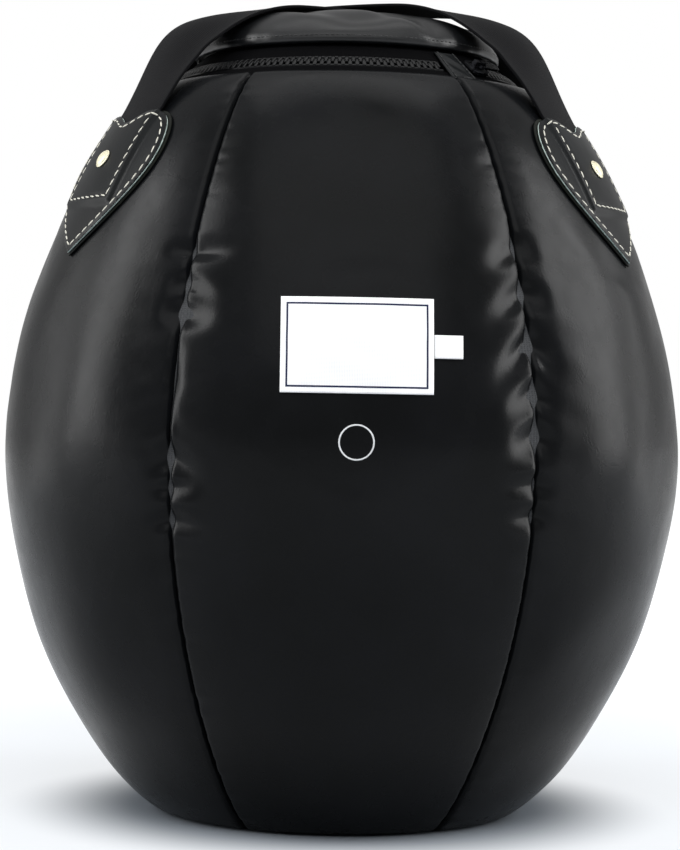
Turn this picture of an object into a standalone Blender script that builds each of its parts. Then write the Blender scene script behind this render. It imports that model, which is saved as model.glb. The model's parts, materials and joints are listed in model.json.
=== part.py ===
"""Punching bag: six leather gores on a round base, a zipped top cover, and two crossed webbing straps.

Metres, +Z up. The origin is the centre of the base, on the floor, and the front gore faces -Y. An azimuth
is an angle from -Y towards +X. On the cover, "above" is a distance outwards from the leather's outer side.
"""

import math

import bmesh
import bpy
from mathutils import Matrix, Vector

# Cover, whose outline is two superellipse quarters: a bowl under the belly and a shoulder over it
GORE_NAMES = ("front", "front_right", "back_right", "back", "back_left", "front_left")
BELLY_RADIUS = 0.2132
BELLY_HEIGHT = 0.229
BASE_RADIUS = 0.111
MOUTH_RADIUS = 0.1195
MOUTH_HEIGHT = 0.450
BOWL_POWERS = (1.95, 1.3)
SHOULDER_POWERS = (1.7, 1.35)
LEATHER_WALL = 0.003
SEAM_GAP = 0.001
SEAM_DRAW = 0.004
SEAM_FADE_POWER = 6
GORE_LIFT = 0.0006
GORE_COLUMNS = 6
GORE_ROWS = 7
COVER_SIDES = GORE_COLUMNS * len(GORE_NAMES)
SHARP_ANGLE = math.radians(35.0)

# Base panel, lining and filling
BASE_SEAM_GAP = 0.002
BASE_THICKNESS = 0.0025
BASE_EDGE = 0.0008
LINING_SLACK = 0.001
LINING_WALL = 0.0008
LINING_SIDES = 24
LINING_ROWS = 9
FILLING_CLEARANCE = 0.003
FILLING_TOP_CLEARANCE = 0.016
HEAP_SHARES = (0.0, 0.3, 0.55, 0.8, 1.0)

# Top cover, above the zipper's band
BAND_RISE = 0.019
BAND_DRAW_IN = 0.0225
LID_RADIUS = MOUTH_RADIUS - BAND_DRAW_IN
LID_EDGE_HEIGHT = MOUTH_HEIGHT + BAND_RISE
LID_RISE = 0.028
LID_POWERS = (4.0, 1.18)
LID_ROWS = 6

# Zipper, laid on the cone between the gores' upper edge and the top cover's edge
BAND_WIDTH = math.hypot(BAND_RISE, BAND_DRAW_IN)
BAND_SLOPE = math.atan2(BAND_RISE, BAND_DRAW_IN)
TAPE_TUCK = 0.006
TAPE_THICKNESS = 0.0009
TAPE_GAP = 0.0008
TAPE_SIDES = 60
CHAIN_HALF_WIDTH = 0.0048
TOOTH_ROOT = 0.0029
TOOTH_REACH = 0.0013
TOOTH_PITCH = 0.0042
TOOTH_TIP_SHARE = 0.17
TOOTH_HEIGHT = 0.0032
TAPE_TO_TEETH = 0.0005

# Zipper bridge, slider and pull
BRIDGE_AZIMUTH = math.radians(35.0)
BRIDGE_WIDTH = 0.018
BRIDGE_THICKNESS = 0.0020
BRIDGE_END_GAP = 0.0010
BRIDGE_COLUMNS = 4
BRIDGE_ROWS = 3
SLIDER_LENGTH = 0.0150
SLIDER_WIDTH = 0.0140
SLIDER_PLATE = 0.0014
SLIDER_REAR_SHARE = 0.90
SLIDER_CORNER_POWER = 4
SLIDER_SIDES = 16
SLIDER_TO_BRIDGE = 0.0010
CHANNEL_CLEARANCE = 0.0006
FLANGE_SLOT = 0.0020
FLANGE_WIDTH = 0.0014
FLANGE_HALF_LENGTH = 0.0054
DIAMOND_LENGTH = 0.0056
DIAMOND_WIDTH = 0.0044
DIAMOND_SIDES = 8
CROWN_LENGTH = 0.0084
CROWN_WIDTH = 0.0030
CROWN_EYE_RADIUS = 0.0014
CROWN_EYE_HEIGHT = 0.0018
CROWN_EYE_SIDES = 12
CROWN_WALL = 0.0010
PULL_LENGTH = 0.0175
PULL_WIDTH = 0.0078
PULL_THICKNESS = 0.0014
PULL_WINDOW_LENGTH = 0.0052
PULL_WINDOW_WIDTH = 0.0040
WELD_OVERLAP = 0.0004

# Heart patches, each a drape over the end of a strap
CORNER_AZIMUTHS = {"front_right": 60.0, "back_right": 120.0, "back_left": 240.0, "front_left": 300.0}
PATCH_BELOW_MOUTH = 0.068
PATCH_WIDTH = 0.092
PATCH_LENGTH = 0.094
PATCH_NOTCH = 0.007
PATCH_WALL = 0.0018
BACKING_WALL = 0.0010
BACKING_MARGIN = 0.0015
SEWN_GAP = 0.0005
LAYER_GAP = 0.0003
DRAPE_FOOT = 0.0028
HEART_SEGMENTS = 4
HEART_DEPTH = 0.060

# Heart outline, as shares of its half width and half length
HEART_SIDE_RISE = 0.36
HEART_LOBE_REACH = 0.52
HEART_TIP_HANDLE = (0.42, 0.30)
HEART_SIDE_HANDLES = (0.50, 0.36)
HEART_LOBE_HANDLE = 0.26
HEART_NOTCH_HANDLE = (0.16, 0.02)

# Straps
STRAP_WIDTH = 0.050
STRAP_THICKNESS = 0.0018
STRAP_TUCK = 0.013
STRAP_LIFT = 0.050
STRAP_LEAN = math.radians(32.0)
STRAP_RISE = 0.063
STRAP_FLAT = 0.132
STRAP_LID_GAP = 0.0015
STRAP_CROSS_GAP = 0.0008
STRAP_COLUMNS = 4
STRAP_SEWN_STEPS = 4
STRAP_STEPS = 8

# Rivets through patch, strap, backing and gore
RIVET_ABOVE_PATCH_CENTRE = 0.013
RIVET_HEAD_RADIUS = 0.006
RIVET_HEAD_RIM = 0.0006
RIVET_HEAD_DOME = 0.0018
RIVET_SHANK_RADIUS = 0.0024
RIVET_CAP_RADIUS = 0.0052
RIVET_CAP_FLOOR = 0.0007
RIVET_CAP_SOCKET = 0.0014
RIVET_CLEARANCE = 0.0004
RIVET_CAP_SLACK = 0.0011
RIVET_DOME_ANGLES = (40.0, 70.0)
RIVET_SIDES = 12
RIVET_HOLE_SIDES = 8
RIVET_HOLE_REACH = 0.02

# Label
LABEL_WIDTH = 0.085
LABEL_LENGTH = 0.053
LABEL_ABOVE_BELLY = 0.057
LABEL_THICKNESS = 0.0007
LABEL_TAB_WIDTH = 0.017
LABEL_TAB_LENGTH = 0.013
LABEL_COLUMNS = 6
LABEL_ROWS = 4

# Colours as linear red, green and blue, with roughness and metallic value
LEATHER = ("black_leather", (0.013, 0.0135, 0.014), 0.42, 0.0)
LINING_CLOTH = ("lining_cloth", (0.04, 0.04, 0.042), 0.9, 0.0)
STUFFING = ("packed_textile", (0.30, 0.28, 0.25), 0.95, 0.0)
WEBBING = ("black_webbing", (0.012, 0.012, 0.013), 0.75, 0.0)
TAPE_CLOTH = ("zipper_tape_cloth", (0.010, 0.010, 0.011), 0.85, 0.0)
TOOTH_RESIN = ("zipper_tooth_resin", (0.015, 0.015, 0.016), 0.35, 0.0)
SLIDER_METAL = ("slider_metal", (0.10, 0.10, 0.105), 0.30, 1.0)
RIVET_METAL = ("rivet_metal", (0.66, 0.64, 0.56), 0.32, 1.0)
LABEL_CLOTH = ("woven_label", (0.78, 0.78, 0.78), 0.8, 0.0)

GORE_HALF_ANGLE = math.pi / len(GORE_NAMES)
LID_TOP_HEIGHT = LID_EDGE_HEIGHT + LID_RISE
PATCH_CENTRE_HEIGHT = MOUTH_HEIGHT - PATCH_BELOW_MOUTH
RIVET_HEIGHT = PATCH_CENTRE_HEIGHT + RIVET_ABOVE_PATCH_CENTRE
LABEL_HEIGHT = BELLY_HEIGHT + LABEL_ABOVE_BELLY
LINING_DEPTH = LEATHER_WALL + SEAM_DRAW + LINING_SLACK
FILLING_DEPTH = LINING_DEPTH + LINING_WALL + LAYER_GAP
STRAP_ABOVE = SEWN_GAP + BACKING_WALL + LAYER_GAP
RIVET_SEAT = STRAP_ABOVE + STRAP_THICKNESS + LAYER_GAP + PATCH_WALL + LAYER_GAP
TAPE_DEPTH = LEATHER_WALL + TAPE_GAP
CHAIN_DEPTH = TAPE_DEPTH + TAPE_THICKNESS / 2
CHANNEL_HALF = TOOTH_HEIGHT / 2 + CHANNEL_CLEARANCE
SLIDER_DEPTH = CHAIN_DEPTH + CHANNEL_HALF + SLIDER_PLATE
CHAIN_RADIUS = MOUTH_RADIUS - BAND_WIDTH / 2 * math.cos(BAND_SLOPE)
BRIDGE_HALF_ANGLE = BRIDGE_WIDTH / 2 / CHAIN_RADIUS
SLIDER_AZIMUTH = BRIDGE_AZIMUTH + BRIDGE_HALF_ANGLE + (SLIDER_TO_BRIDGE + SLIDER_LENGTH / 2) / CHAIN_RADIUS


def body_radius(height):
    """Radius of the cover's outer side on the middle line of a gore."""
    if height < BELLY_HEIGHT:
        away, low, powers = (BELLY_HEIGHT - height) / BELLY_HEIGHT, BASE_RADIUS, BOWL_POWERS
    else:
        away = (height - BELLY_HEIGHT) / (MOUTH_HEIGHT - BELLY_HEIGHT)
        low, powers = MOUTH_RADIUS, SHOULDER_POWERS
    share = (1 - min(away, 1.0) ** powers[0]) ** (1 / powers[1])
    return low + (BELLY_RADIUS - low) * share


def body_height(station):
    """Height at a station: 0 at the base, 1 at the belly, 2 at the mouth, even round each quarter."""
    if station <= 1:
        away = math.sin((1 - station) * math.pi / 2) ** (2 / BOWL_POWERS[0])
        return BELLY_HEIGHT * (1 - away)
    away = math.sin((station - 1) * math.pi / 2) ** (2 / SHOULDER_POWERS[0])
    return BELLY_HEIGHT + (MOUTH_HEIGHT - BELLY_HEIGHT) * away


def seam_draw(azimuth, height):
    """How far a seam draws the cover in, at an azimuth from the middle line of its gore."""
    along = 2 * height / MOUTH_HEIGHT - 1
    fade = max(0.0, 1 - abs(along) ** SEAM_FADE_POWER)
    return SEAM_DRAW * fade * (azimuth / GORE_HALF_ANGLE) ** 2


def outward(height):
    """Unit normal of the cover's outline at a height, as radius and height."""
    step = 0.0005
    slope = (body_radius(height + step) - body_radius(height - step)) / (2 * step)
    return Vector((1.0, -slope)).normalized()


def cover_point(azimuth, height, above=0.0):
    """Point above the cover, on the gore whose middle line is at azimuth 0."""
    normal = outward(height)
    radius = body_radius(height) - seam_draw(azimuth, height) + above * normal.x
    return Vector((radius * math.sin(azimuth), -radius * math.cos(azimuth), height + above * normal.y))


def cover_frame(azimuth, height, above):
    """Matrix at a point above a gore's middle line: X runs across, Y up the gore and Z outwards."""
    normal = outward(height)
    out = Vector((0, -normal.x, normal.y))
    up = Vector((0, normal.y, normal.x))
    frame = Matrix((Vector((1, 0, 0)), up, out)).transposed().to_4x4()
    frame.translation = cover_point(0, height, above)
    return Matrix.Rotation(azimuth, 4, "Z") @ frame


def band_frame(azimuth, along, above):
    """Matrix on the zipper's cone: X runs round the bag, Y up the cone and Z outwards."""
    up = Vector((0, math.cos(BAND_SLOPE), math.sin(BAND_SLOPE)))
    out = Vector((0, -math.sin(BAND_SLOPE), math.cos(BAND_SLOPE)))
    frame = Matrix((Vector((1, 0, 0)), up, out)).transposed().to_4x4()
    frame.translation = Vector((0, -MOUTH_RADIUS, MOUTH_HEIGHT)) + up * along + out * above
    return Matrix.Rotation(azimuth, 4, "Z") @ frame


def band_section(along, above):
    """Radius and height of a point of the zipper's cone."""
    point = band_frame(0, along, above).translation
    return -point.y, point.z


def clear_scene():
    """Removes the objects of the scene that Blender starts with."""
    for thing in list(bpy.data.objects):
        bpy.data.objects.remove(thing)


def collection(name):
    """A new collection of the scene."""
    group = bpy.data.collections.new(name)
    bpy.context.scene.collection.children.link(group)
    return group


def finish(name, colour, roughness, metallic):
    """The material of that name, made at its first use."""
    if name in bpy.data.materials:
        return bpy.data.materials[name]
    material = bpy.data.materials.new(name)
    material.use_nodes = True
    shader = material.node_tree.nodes["Principled BSDF"]
    shader.inputs["Base Color"].default_value = (*colour, 1.0)
    shader.inputs["Roughness"].default_value = roughness
    shader.inputs["Metallic"].default_value = metallic
    return material


def add_part(name, mesh, material, place=None, smooth=True):
    """Puts a mesh into the bag's collection as a named part."""
    part = bpy.data.objects.new(name, mesh)
    bpy.data.collections["punching_bag"].objects.link(part)
    part.matrix_world = place or Matrix.Identity(4)
    if not mesh.materials:
        mesh.materials.append(finish(*material))
    if smooth:
        mesh.shade_smooth()
        mesh.set_sharp_from_angle(angle=SHARP_ANGLE)
    return part


def add_cutter(name, mesh, place):
    """Puts a mesh that cuts or joins other parts into the collection of cutters."""
    cutter = bpy.data.objects.new(name, mesh)
    bpy.data.collections["cutters"].objects.link(cutter)
    cutter.matrix_world = place
    cutter.hide_render = True
    cutter.display_type = "WIRE"
    return cutter


def add_boolean(part, cutter, operation="DIFFERENCE"):
    """Cuts a part with a cutter, or joins it or meets it."""
    cut = part.modifiers.new(cutter.name, "BOOLEAN")
    cut.operation = operation
    cut.object = cutter


def add_wall(part, thickness, outside):
    """Gives an open sheet its thickness, on its outside or its inside."""
    wall = part.modifiers.new("wall", "SOLIDIFY")
    wall.thickness = thickness
    wall.offset = 1 if outside else -1
    wall.use_even_offset = True


def mesh_from(bm, name):
    """The finished mesh of a bmesh, which is freed."""
    mesh = bpy.data.meshes.new(name)
    bm.to_mesh(mesh)
    bm.free()
    return mesh


def sheet_mesh(name, columns, rows, place):
    """A grid whose point at each column and row lies at place(column, row)."""
    bm = bmesh.new()
    across, along = len(columns) - 1, len(rows) - 1
    bmesh.ops.create_grid(bm, x_segments=across, y_segments=along, size=1)
    for vert in bm.verts:
        column = round((vert.co.x + 1) / 2 * across)
        row = round((vert.co.y + 1) / 2 * along)
        vert.co = place(columns[column], rows[row])
    return mesh_from(bm, name)


def turned_mesh(name, profile, closed=False):
    """The profile of a turned piece, as edges in the XZ plane."""
    mesh = bpy.data.meshes.new(name)
    edges = [(k, k + 1) for k in range(len(profile) - 1)]
    if closed:
        edges.append((len(profile) - 1, 0))
    mesh.from_pydata([(radius, 0, height) for radius, height in profile], edges, [])
    return mesh


def add_turned(name, profile, sides, material, closed=False, place=None):
    """A turned piece: its profile runs down the outer side."""
    part = add_part(name, turned_mesh(name, profile, closed), material, place, smooth=False)
    turn = part.modifiers.new("turn", "SCREW")
    turn.axis = "Z"
    turn.steps = turn.render_steps = sides
    turn.use_merge_vertices = True
    turn.merge_threshold = 0.00001
    turn.use_smooth_shade = True
    return part


def spread(low, high, steps):
    """Evenly spaced values from low to high."""
    return [low + (high - low) * k / steps for k in range(steps + 1)]


def mirrored(values):
    """Values on both sides of 0, from the ones on the positive side."""
    return [-value for value in reversed(values)] + [0.0] + list(values)


def make_gores():
    """Six crowned gores, drawn in at the seams between them."""
    heights = [max(body_height(station), GORE_LIFT) for station in spread(0, 2, 2 * GORE_ROWS)]
    heights = sorted(heights + [RIVET_HEIGHT])

    def place(share, height):
        half = GORE_HALF_ANGLE - SEAM_GAP / 2 / body_radius(height)
        return cover_point(share * half, height)

    mesh = sheet_mesh("gore", spread(-1, 1, GORE_COLUMNS), heights, place)
    gores = {}
    for index, side in enumerate(GORE_NAMES):
        turn = Matrix.Rotation(2 * GORE_HALF_ANGLE * index, 4, "Z")
        gores[side] = add_part("gore_" + side, mesh, LEATHER, turn)
        add_wall(gores[side], LEATHER_WALL, outside=False)
    return gores


def make_base():
    """The round panel that the bag stands on."""
    radius = BASE_RADIUS - BASE_SEAM_GAP
    profile = [(0, BASE_THICKNESS), (radius, BASE_THICKNESS), (radius, BASE_EDGE), (radius - BASE_EDGE, 0), (0, 0)]
    add_turned("base_panel", profile, COVER_SIDES, LEATHER)


def inner_side(depth):
    """The cover's outline moved in by a depth, from one row below the mouth down to the base."""
    points = []
    for row in range(LINING_ROWS - 1, 0, -1):
        point = cover_point(0, body_height(2 * row / LINING_ROWS), -depth)
        points.append((-point.y, point.z))
    floor = BASE_THICKNESS + depth - LINING_DEPTH + LINING_SLACK
    return points + [(BASE_RADIUS - depth, floor), (0, floor)]


def make_lining():
    """The lining, open at the mouth."""
    lining = add_turned("lining", inner_side(LINING_DEPTH), LINING_SIDES, LINING_CLOTH)
    add_wall(lining, LINING_WALL, outside=False)


def make_filling():
    """The filling, heaped up under the top cover and clear of the slider's path."""
    rim_radius, rim_height = band_section(BAND_WIDTH / 2, -SLIDER_DEPTH - FILLING_CLEARANCE)
    rise = LID_TOP_HEIGHT - FILLING_TOP_CLEARANCE - rim_height
    heap = [(share * rim_radius, rim_height + rise * (1 - share ** 2)) for share in HEAP_SHARES]
    add_turned("filling", heap + inner_side(FILLING_DEPTH), LINING_SIDES, STUFFING)


def make_lid():
    """The domed top cover."""
    profile = []
    for angle in spread(0, math.pi / 2, LID_ROWS):
        radius = LID_RADIUS * math.sin(angle) ** (2 / LID_POWERS[0])
        rise = max(math.cos(angle), 0) ** (2 / LID_POWERS[1])
        profile.append((radius, LID_EDGE_HEIGHT + LID_RISE * rise))
    lid = add_turned("top_cover", profile, COVER_SIDES, LEATHER)
    add_wall(lid, LEATHER_WALL, outside=False)


def make_tapes():
    """The two zipper tapes, which end in the teeth and run under the leather's edges."""
    reach = CHAIN_HALF_WIDTH + TAPE_TO_TEETH
    spans = {
        "lower": (-TAPE_TUCK, BAND_WIDTH / 2 - reach),
        "upper": (BAND_WIDTH / 2 + reach, BAND_WIDTH + TAPE_TUCK),
    }
    for side, (low, high) in spans.items():
        corners = [(high, -TAPE_DEPTH), (low, -TAPE_DEPTH)]
        corners += [(along, above - TAPE_THICKNESS) for along, above in reversed(corners)]
        profile = [band_section(along, above) for along, above in corners]
        add_turned("zipper_tape_" + side, profile, TAPE_SIDES, TAPE_CLOTH, closed=True)


def tooth_row_mesh(name, side, start, count, pitch_angle):
    """One row of teeth on its spine. The side is -1 below the middle of the chain and 1 above it."""
    middle = BAND_WIDTH / 2
    root, tip = middle + side * TOOTH_ROOT, middle - side * TOOTH_REACH
    section = (
        (middle + side * CHAIN_HALF_WIDTH, -CHAIN_DEPTH),
        (root, -CHAIN_DEPTH + TOOTH_HEIGHT / 2),
        (root, -CHAIN_DEPTH - TOOTH_HEIGHT / 2),
    )
    bm = bmesh.new()
    corners = [bm.verts.new(band_frame(start, along, above).translation) for along, above in section]
    edges = [bm.edges.new((corners[k], corners[(k + 1) % 3])) for k in range(3)]
    bmesh.ops.spin(
        bm, geom=corners + edges, axis=(0, 0, 1), cent=(0, 0, 0), angle=count * pitch_angle, steps=count
    )
    bmesh.ops.holes_fill(bm, edges=bm.edges[:], sides=3)
    into_band = band_frame(0, 0, 0).inverted()

    def along_band(point):
        radius = math.hypot(point.x, point.y)
        return (into_band @ Vector((0, -radius, point.z))).y

    root_faces = [
        face for face in bm.faces
        if len(face.verts) == 4 and all(abs(along_band(vert.co) - root) < 0.0001 for vert in face.verts)
    ]
    for face in bmesh.ops.extrude_discrete_faces(bm, faces=root_faces)["faces"]:
        centre = face.calc_center_median()
        frame = band_frame(math.atan2(centre.x, -centre.y), 0, 0)
        round_bag, up = frame.col[0].to_3d(), frame.col[1].to_3d()
        for vert in face.verts:
            offset = (vert.co - centre).dot(round_bag)
            vert.co += up * (tip - root) - round_bag * offset * (1 - TOOTH_TIP_SHARE)
    bmesh.ops.recalc_face_normals(bm, faces=bm.faces[:])
    return mesh_from(bm, name)


def make_teeth():
    """Two rows that mesh tooth by tooth, from inside the closed slider round to the far side of the bridge."""
    pitch_angle = TOOTH_PITCH / CHAIN_RADIUS
    start = SLIDER_AZIMUTH + TAPE_TO_TEETH / CHAIN_RADIUS
    end = BRIDGE_AZIMUTH - BRIDGE_HALF_ANGLE + 2 * math.pi - BRIDGE_END_GAP / CHAIN_RADIUS
    count = int((end - start) / pitch_angle - 0.5)
    for side, name, phase in ((-1, "zipper_teeth_lower", 0.0), (1, "zipper_teeth_upper", 0.5)):
        mesh = tooth_row_mesh(name, side, start + phase * pitch_angle, count, pitch_angle)
        add_part(name, mesh, TOOTH_RESIN, smooth=False)


def make_bridge():
    """The leather tab across the tapes, over the place where the zipper's ends meet."""
    floor = BRIDGE_THICKNESS + LAYER_GAP - TAPE_DEPTH

    def place(share, along):
        return band_frame(BRIDGE_AZIMUTH + share * BRIDGE_HALF_ANGLE, along, floor).translation

    rows = spread(BRIDGE_END_GAP, BAND_WIDTH - BRIDGE_END_GAP, BRIDGE_ROWS)
    mesh = sheet_mesh("zipper_bridge", spread(-1, 1, BRIDGE_COLUMNS), rows, place)
    bridge = add_part("zipper_bridge", mesh, LEATHER)
    add_wall(bridge, BRIDGE_THICKNESS, outside=False)


def box_mesh(name, low, high):
    """A box between two corners."""
    bm = bmesh.new()
    bmesh.ops.create_cube(bm, size=1)
    size = Vector(high) - Vector(low)
    bmesh.ops.scale(bm, vec=size, verts=bm.verts)
    bmesh.ops.translate(bm, vec=(Vector(high) + Vector(low)) / 2, verts=bm.verts)
    return mesh_from(bm, name)


def prism_mesh(name, sides, low, high, radius=1.0, shape=None):
    """A round prism along Z, whose outline shape() may change."""
    bm = bmesh.new()
    bmesh.ops.create_cone(bm, cap_ends=True, segments=sides, radius1=radius, radius2=radius, depth=high - low)
    for vert in bm.verts:
        vert.co.z += (low + high) / 2
        if shape:
            vert.co.x, vert.co.y = shape(vert.co.x, vert.co.y)
    return mesh_from(bm, name)


def plate_shape(x, y):
    """A rounded oblong that narrows towards the slider's rear, which lies at +X."""
    power = 2 / SLIDER_CORNER_POWER
    along = math.copysign(abs(x) ** power, x)
    across = math.copysign(abs(y) ** power, y)
    taper = 1 - (1 - SLIDER_REAR_SHARE) * (along + 1) / 2
    return along * SLIDER_LENGTH / 2, across * taper * SLIDER_WIDTH / 2


def make_slider():
    """The slider: two plates joined by the diamond that parts the teeth, side flanges, and the pull's crown."""
    frame = band_frame(SLIDER_AZIMUTH, BAND_WIDTH / 2, -CHAIN_DEPTH)
    top = CHANNEL_HALF + SLIDER_PLATE
    upper_plate = prism_mesh("zipper_slider", SLIDER_SIDES, CHANNEL_HALF, top, shape=plate_shape)
    slider = add_part("zipper_slider", upper_plate, SLIDER_METAL, frame)
    diamond_middle = -TAPE_TO_TEETH - DIAMOND_LENGTH / 2

    def diamond_shape(x, y):
        return diamond_middle + x * DIAMOND_LENGTH / 2, y * DIAMOND_WIDTH / 2

    sunk = CHANNEL_HALF + WELD_OVERLAP
    pieces = [
        prism_mesh("slider_lower_plate", SLIDER_SIDES, -top, -CHANNEL_HALF, shape=plate_shape),
        prism_mesh("slider_diamond", DIAMOND_SIDES, -sunk, sunk, shape=diamond_shape),
    ]
    flange_high = SLIDER_REAR_SHARE * SLIDER_WIDTH / 2 - WELD_OVERLAP
    flange_low = flange_high - FLANGE_WIDTH
    for across in ((flange_low, flange_high), (-flange_high, -flange_low)):
        for level in ((FLANGE_SLOT / 2, sunk), (-sunk, -FLANGE_SLOT / 2)):
            low = (-FLANGE_HALF_LENGTH, across[0], level[0])
            high = (FLANGE_HALF_LENGTH, across[1], level[1])
            pieces.append(box_mesh("slider_flange", low, high))
    crown_top = top + CROWN_EYE_HEIGHT + CROWN_EYE_RADIUS + CROWN_WALL
    half_length, half_width = CROWN_LENGTH / 2, CROWN_WIDTH / 2
    low, high = (-half_length, -half_width, top - WELD_OVERLAP), (half_length, half_width, crown_top)
    pieces.append(box_mesh("slider_crown", low, high))
    for index, mesh in enumerate(pieces):
        add_boolean(slider, add_cutter(f"slider_join_{index}", mesh, frame), "UNION")
    eye = prism_mesh("slider_crown_eye", CROWN_EYE_SIDES, -CROWN_WIDTH, CROWN_WIDTH, CROWN_EYE_RADIUS)
    eye_place = frame @ Matrix.Translation((0, 0, top + CROWN_EYE_HEIGHT)) @ Matrix.Rotation(math.pi / 2, 4, "X")
    add_boolean(slider, add_cutter("slider_crown_eye", eye, eye_place))


def pull_shape(x, y):
    """The pull's rounded outline: the bar lies at X 0 and the free end at +X."""
    power = 2 / SLIDER_CORNER_POWER
    along = math.copysign(abs(x) ** power, x)
    across = math.copysign(abs(y) ** power, y)
    low = -PULL_THICKNESS / 2
    return low + (along + 1) / 2 * (PULL_LENGTH - low), across * PULL_WIDTH / 2


def make_pull():
    """The pull, whose bar passes through the crown and whose window lets the crown through."""
    pivot_height = CHANNEL_HALF + SLIDER_PLATE + CROWN_EYE_HEIGHT
    frame = band_frame(SLIDER_AZIMUTH, BAND_WIDTH / 2, -CHAIN_DEPTH) @ Matrix.Translation((0, 0, pivot_height))
    half = PULL_THICKNESS / 2
    plate = prism_mesh("zipper_pull", SLIDER_SIDES, -half, half, shape=pull_shape)
    pull = add_part("zipper_pull", plate, SLIDER_METAL, frame)
    low = (half, -PULL_WINDOW_WIDTH / 2, -PULL_THICKNESS)
    high = (half + PULL_WINDOW_LENGTH, PULL_WINDOW_WIDTH / 2, PULL_THICKNESS)
    add_boolean(pull, add_cutter("pull_window", box_mesh("pull_window", low, high), frame))


def heart_mesh(name, margin):
    """A heart-shaped prism in the XY plane, its tip towards -Y, grown by a margin all round."""
    half_width, half_length = PATCH_WIDTH / 2 + margin, PATCH_LENGTH / 2 + margin

    def shares(across, up):
        return Vector((across * half_width, up * half_length))

    def flip(vector):
        return Vector((-vector.x, vector.y))

    tip, notch = shares(0, -1), Vector((0, half_length - PATCH_NOTCH))
    side, lobe = shares(1, HEART_SIDE_RISE), shares(HEART_LOBE_REACH, 1)
    tip_handle, notch_handle = tip + shares(*HEART_TIP_HANDLE), notch + shares(*HEART_NOTCH_HANDLE)
    below, above = HEART_SIDE_HANDLES
    lobe_handle = shares(HEART_LOBE_HANDLE, 0)
    right = [
        (side - shares(0, below), side, side + shares(0, above)),
        (lobe + lobe_handle, lobe, lobe - lobe_handle),
    ]
    left = [tuple(flip(vector) for vector in reversed(knot)) for knot in reversed(right)]
    knots = [(flip(tip_handle), tip, tip_handle)] + right + [(notch_handle, notch, flip(notch_handle))] + left
    curve = bpy.data.curves.new(name, "CURVE")
    curve.dimensions = "2D"
    curve.fill_mode = "BOTH"
    curve.extrude = HEART_DEPTH / 2
    curve.resolution_u = HEART_SEGMENTS
    spline = curve.splines.new("BEZIER")
    spline.bezier_points.add(len(knots) - 1)
    spline.use_cyclic_u = True
    for point, (before, at, after) in zip(spline.bezier_points, knots):
        point.handle_left_type = point.handle_right_type = "FREE"
        point.co, point.handle_left, point.handle_right = at.to_3d(), before.to_3d(), after.to_3d()
    return curve_as_mesh(curve)


def curve_as_mesh(curve):
    """The filled and welded mesh of a curve, which is removed."""
    drawn = bpy.data.objects.new(curve.name, curve)
    bpy.context.scene.collection.objects.link(drawn)
    evaluated = drawn.evaluated_get(bpy.context.evaluated_depsgraph_get())
    mesh = bpy.data.meshes.new_from_object(evaluated)
    bpy.data.objects.remove(drawn)
    bm = bmesh.new()
    bm.from_mesh(mesh)
    bmesh.ops.remove_doubles(bm, verts=bm.verts, dist=0.00001)
    bmesh.ops.recalc_face_normals(bm, faces=bm.faces[:])
    bm.to_mesh(mesh)
    bm.free()
    return mesh


def patch_height(up):
    """Height on the gore at a length up the patch from its centre."""
    return PATCH_CENTRE_HEIGHT + up * outward(PATCH_CENTRE_HEIGHT).x


def patch_point(across, up, above):
    """Point above the gore, at lengths across and up the patch from its centre."""
    height = patch_height(up)
    return cover_point(across / body_radius(height), height, above)


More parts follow.
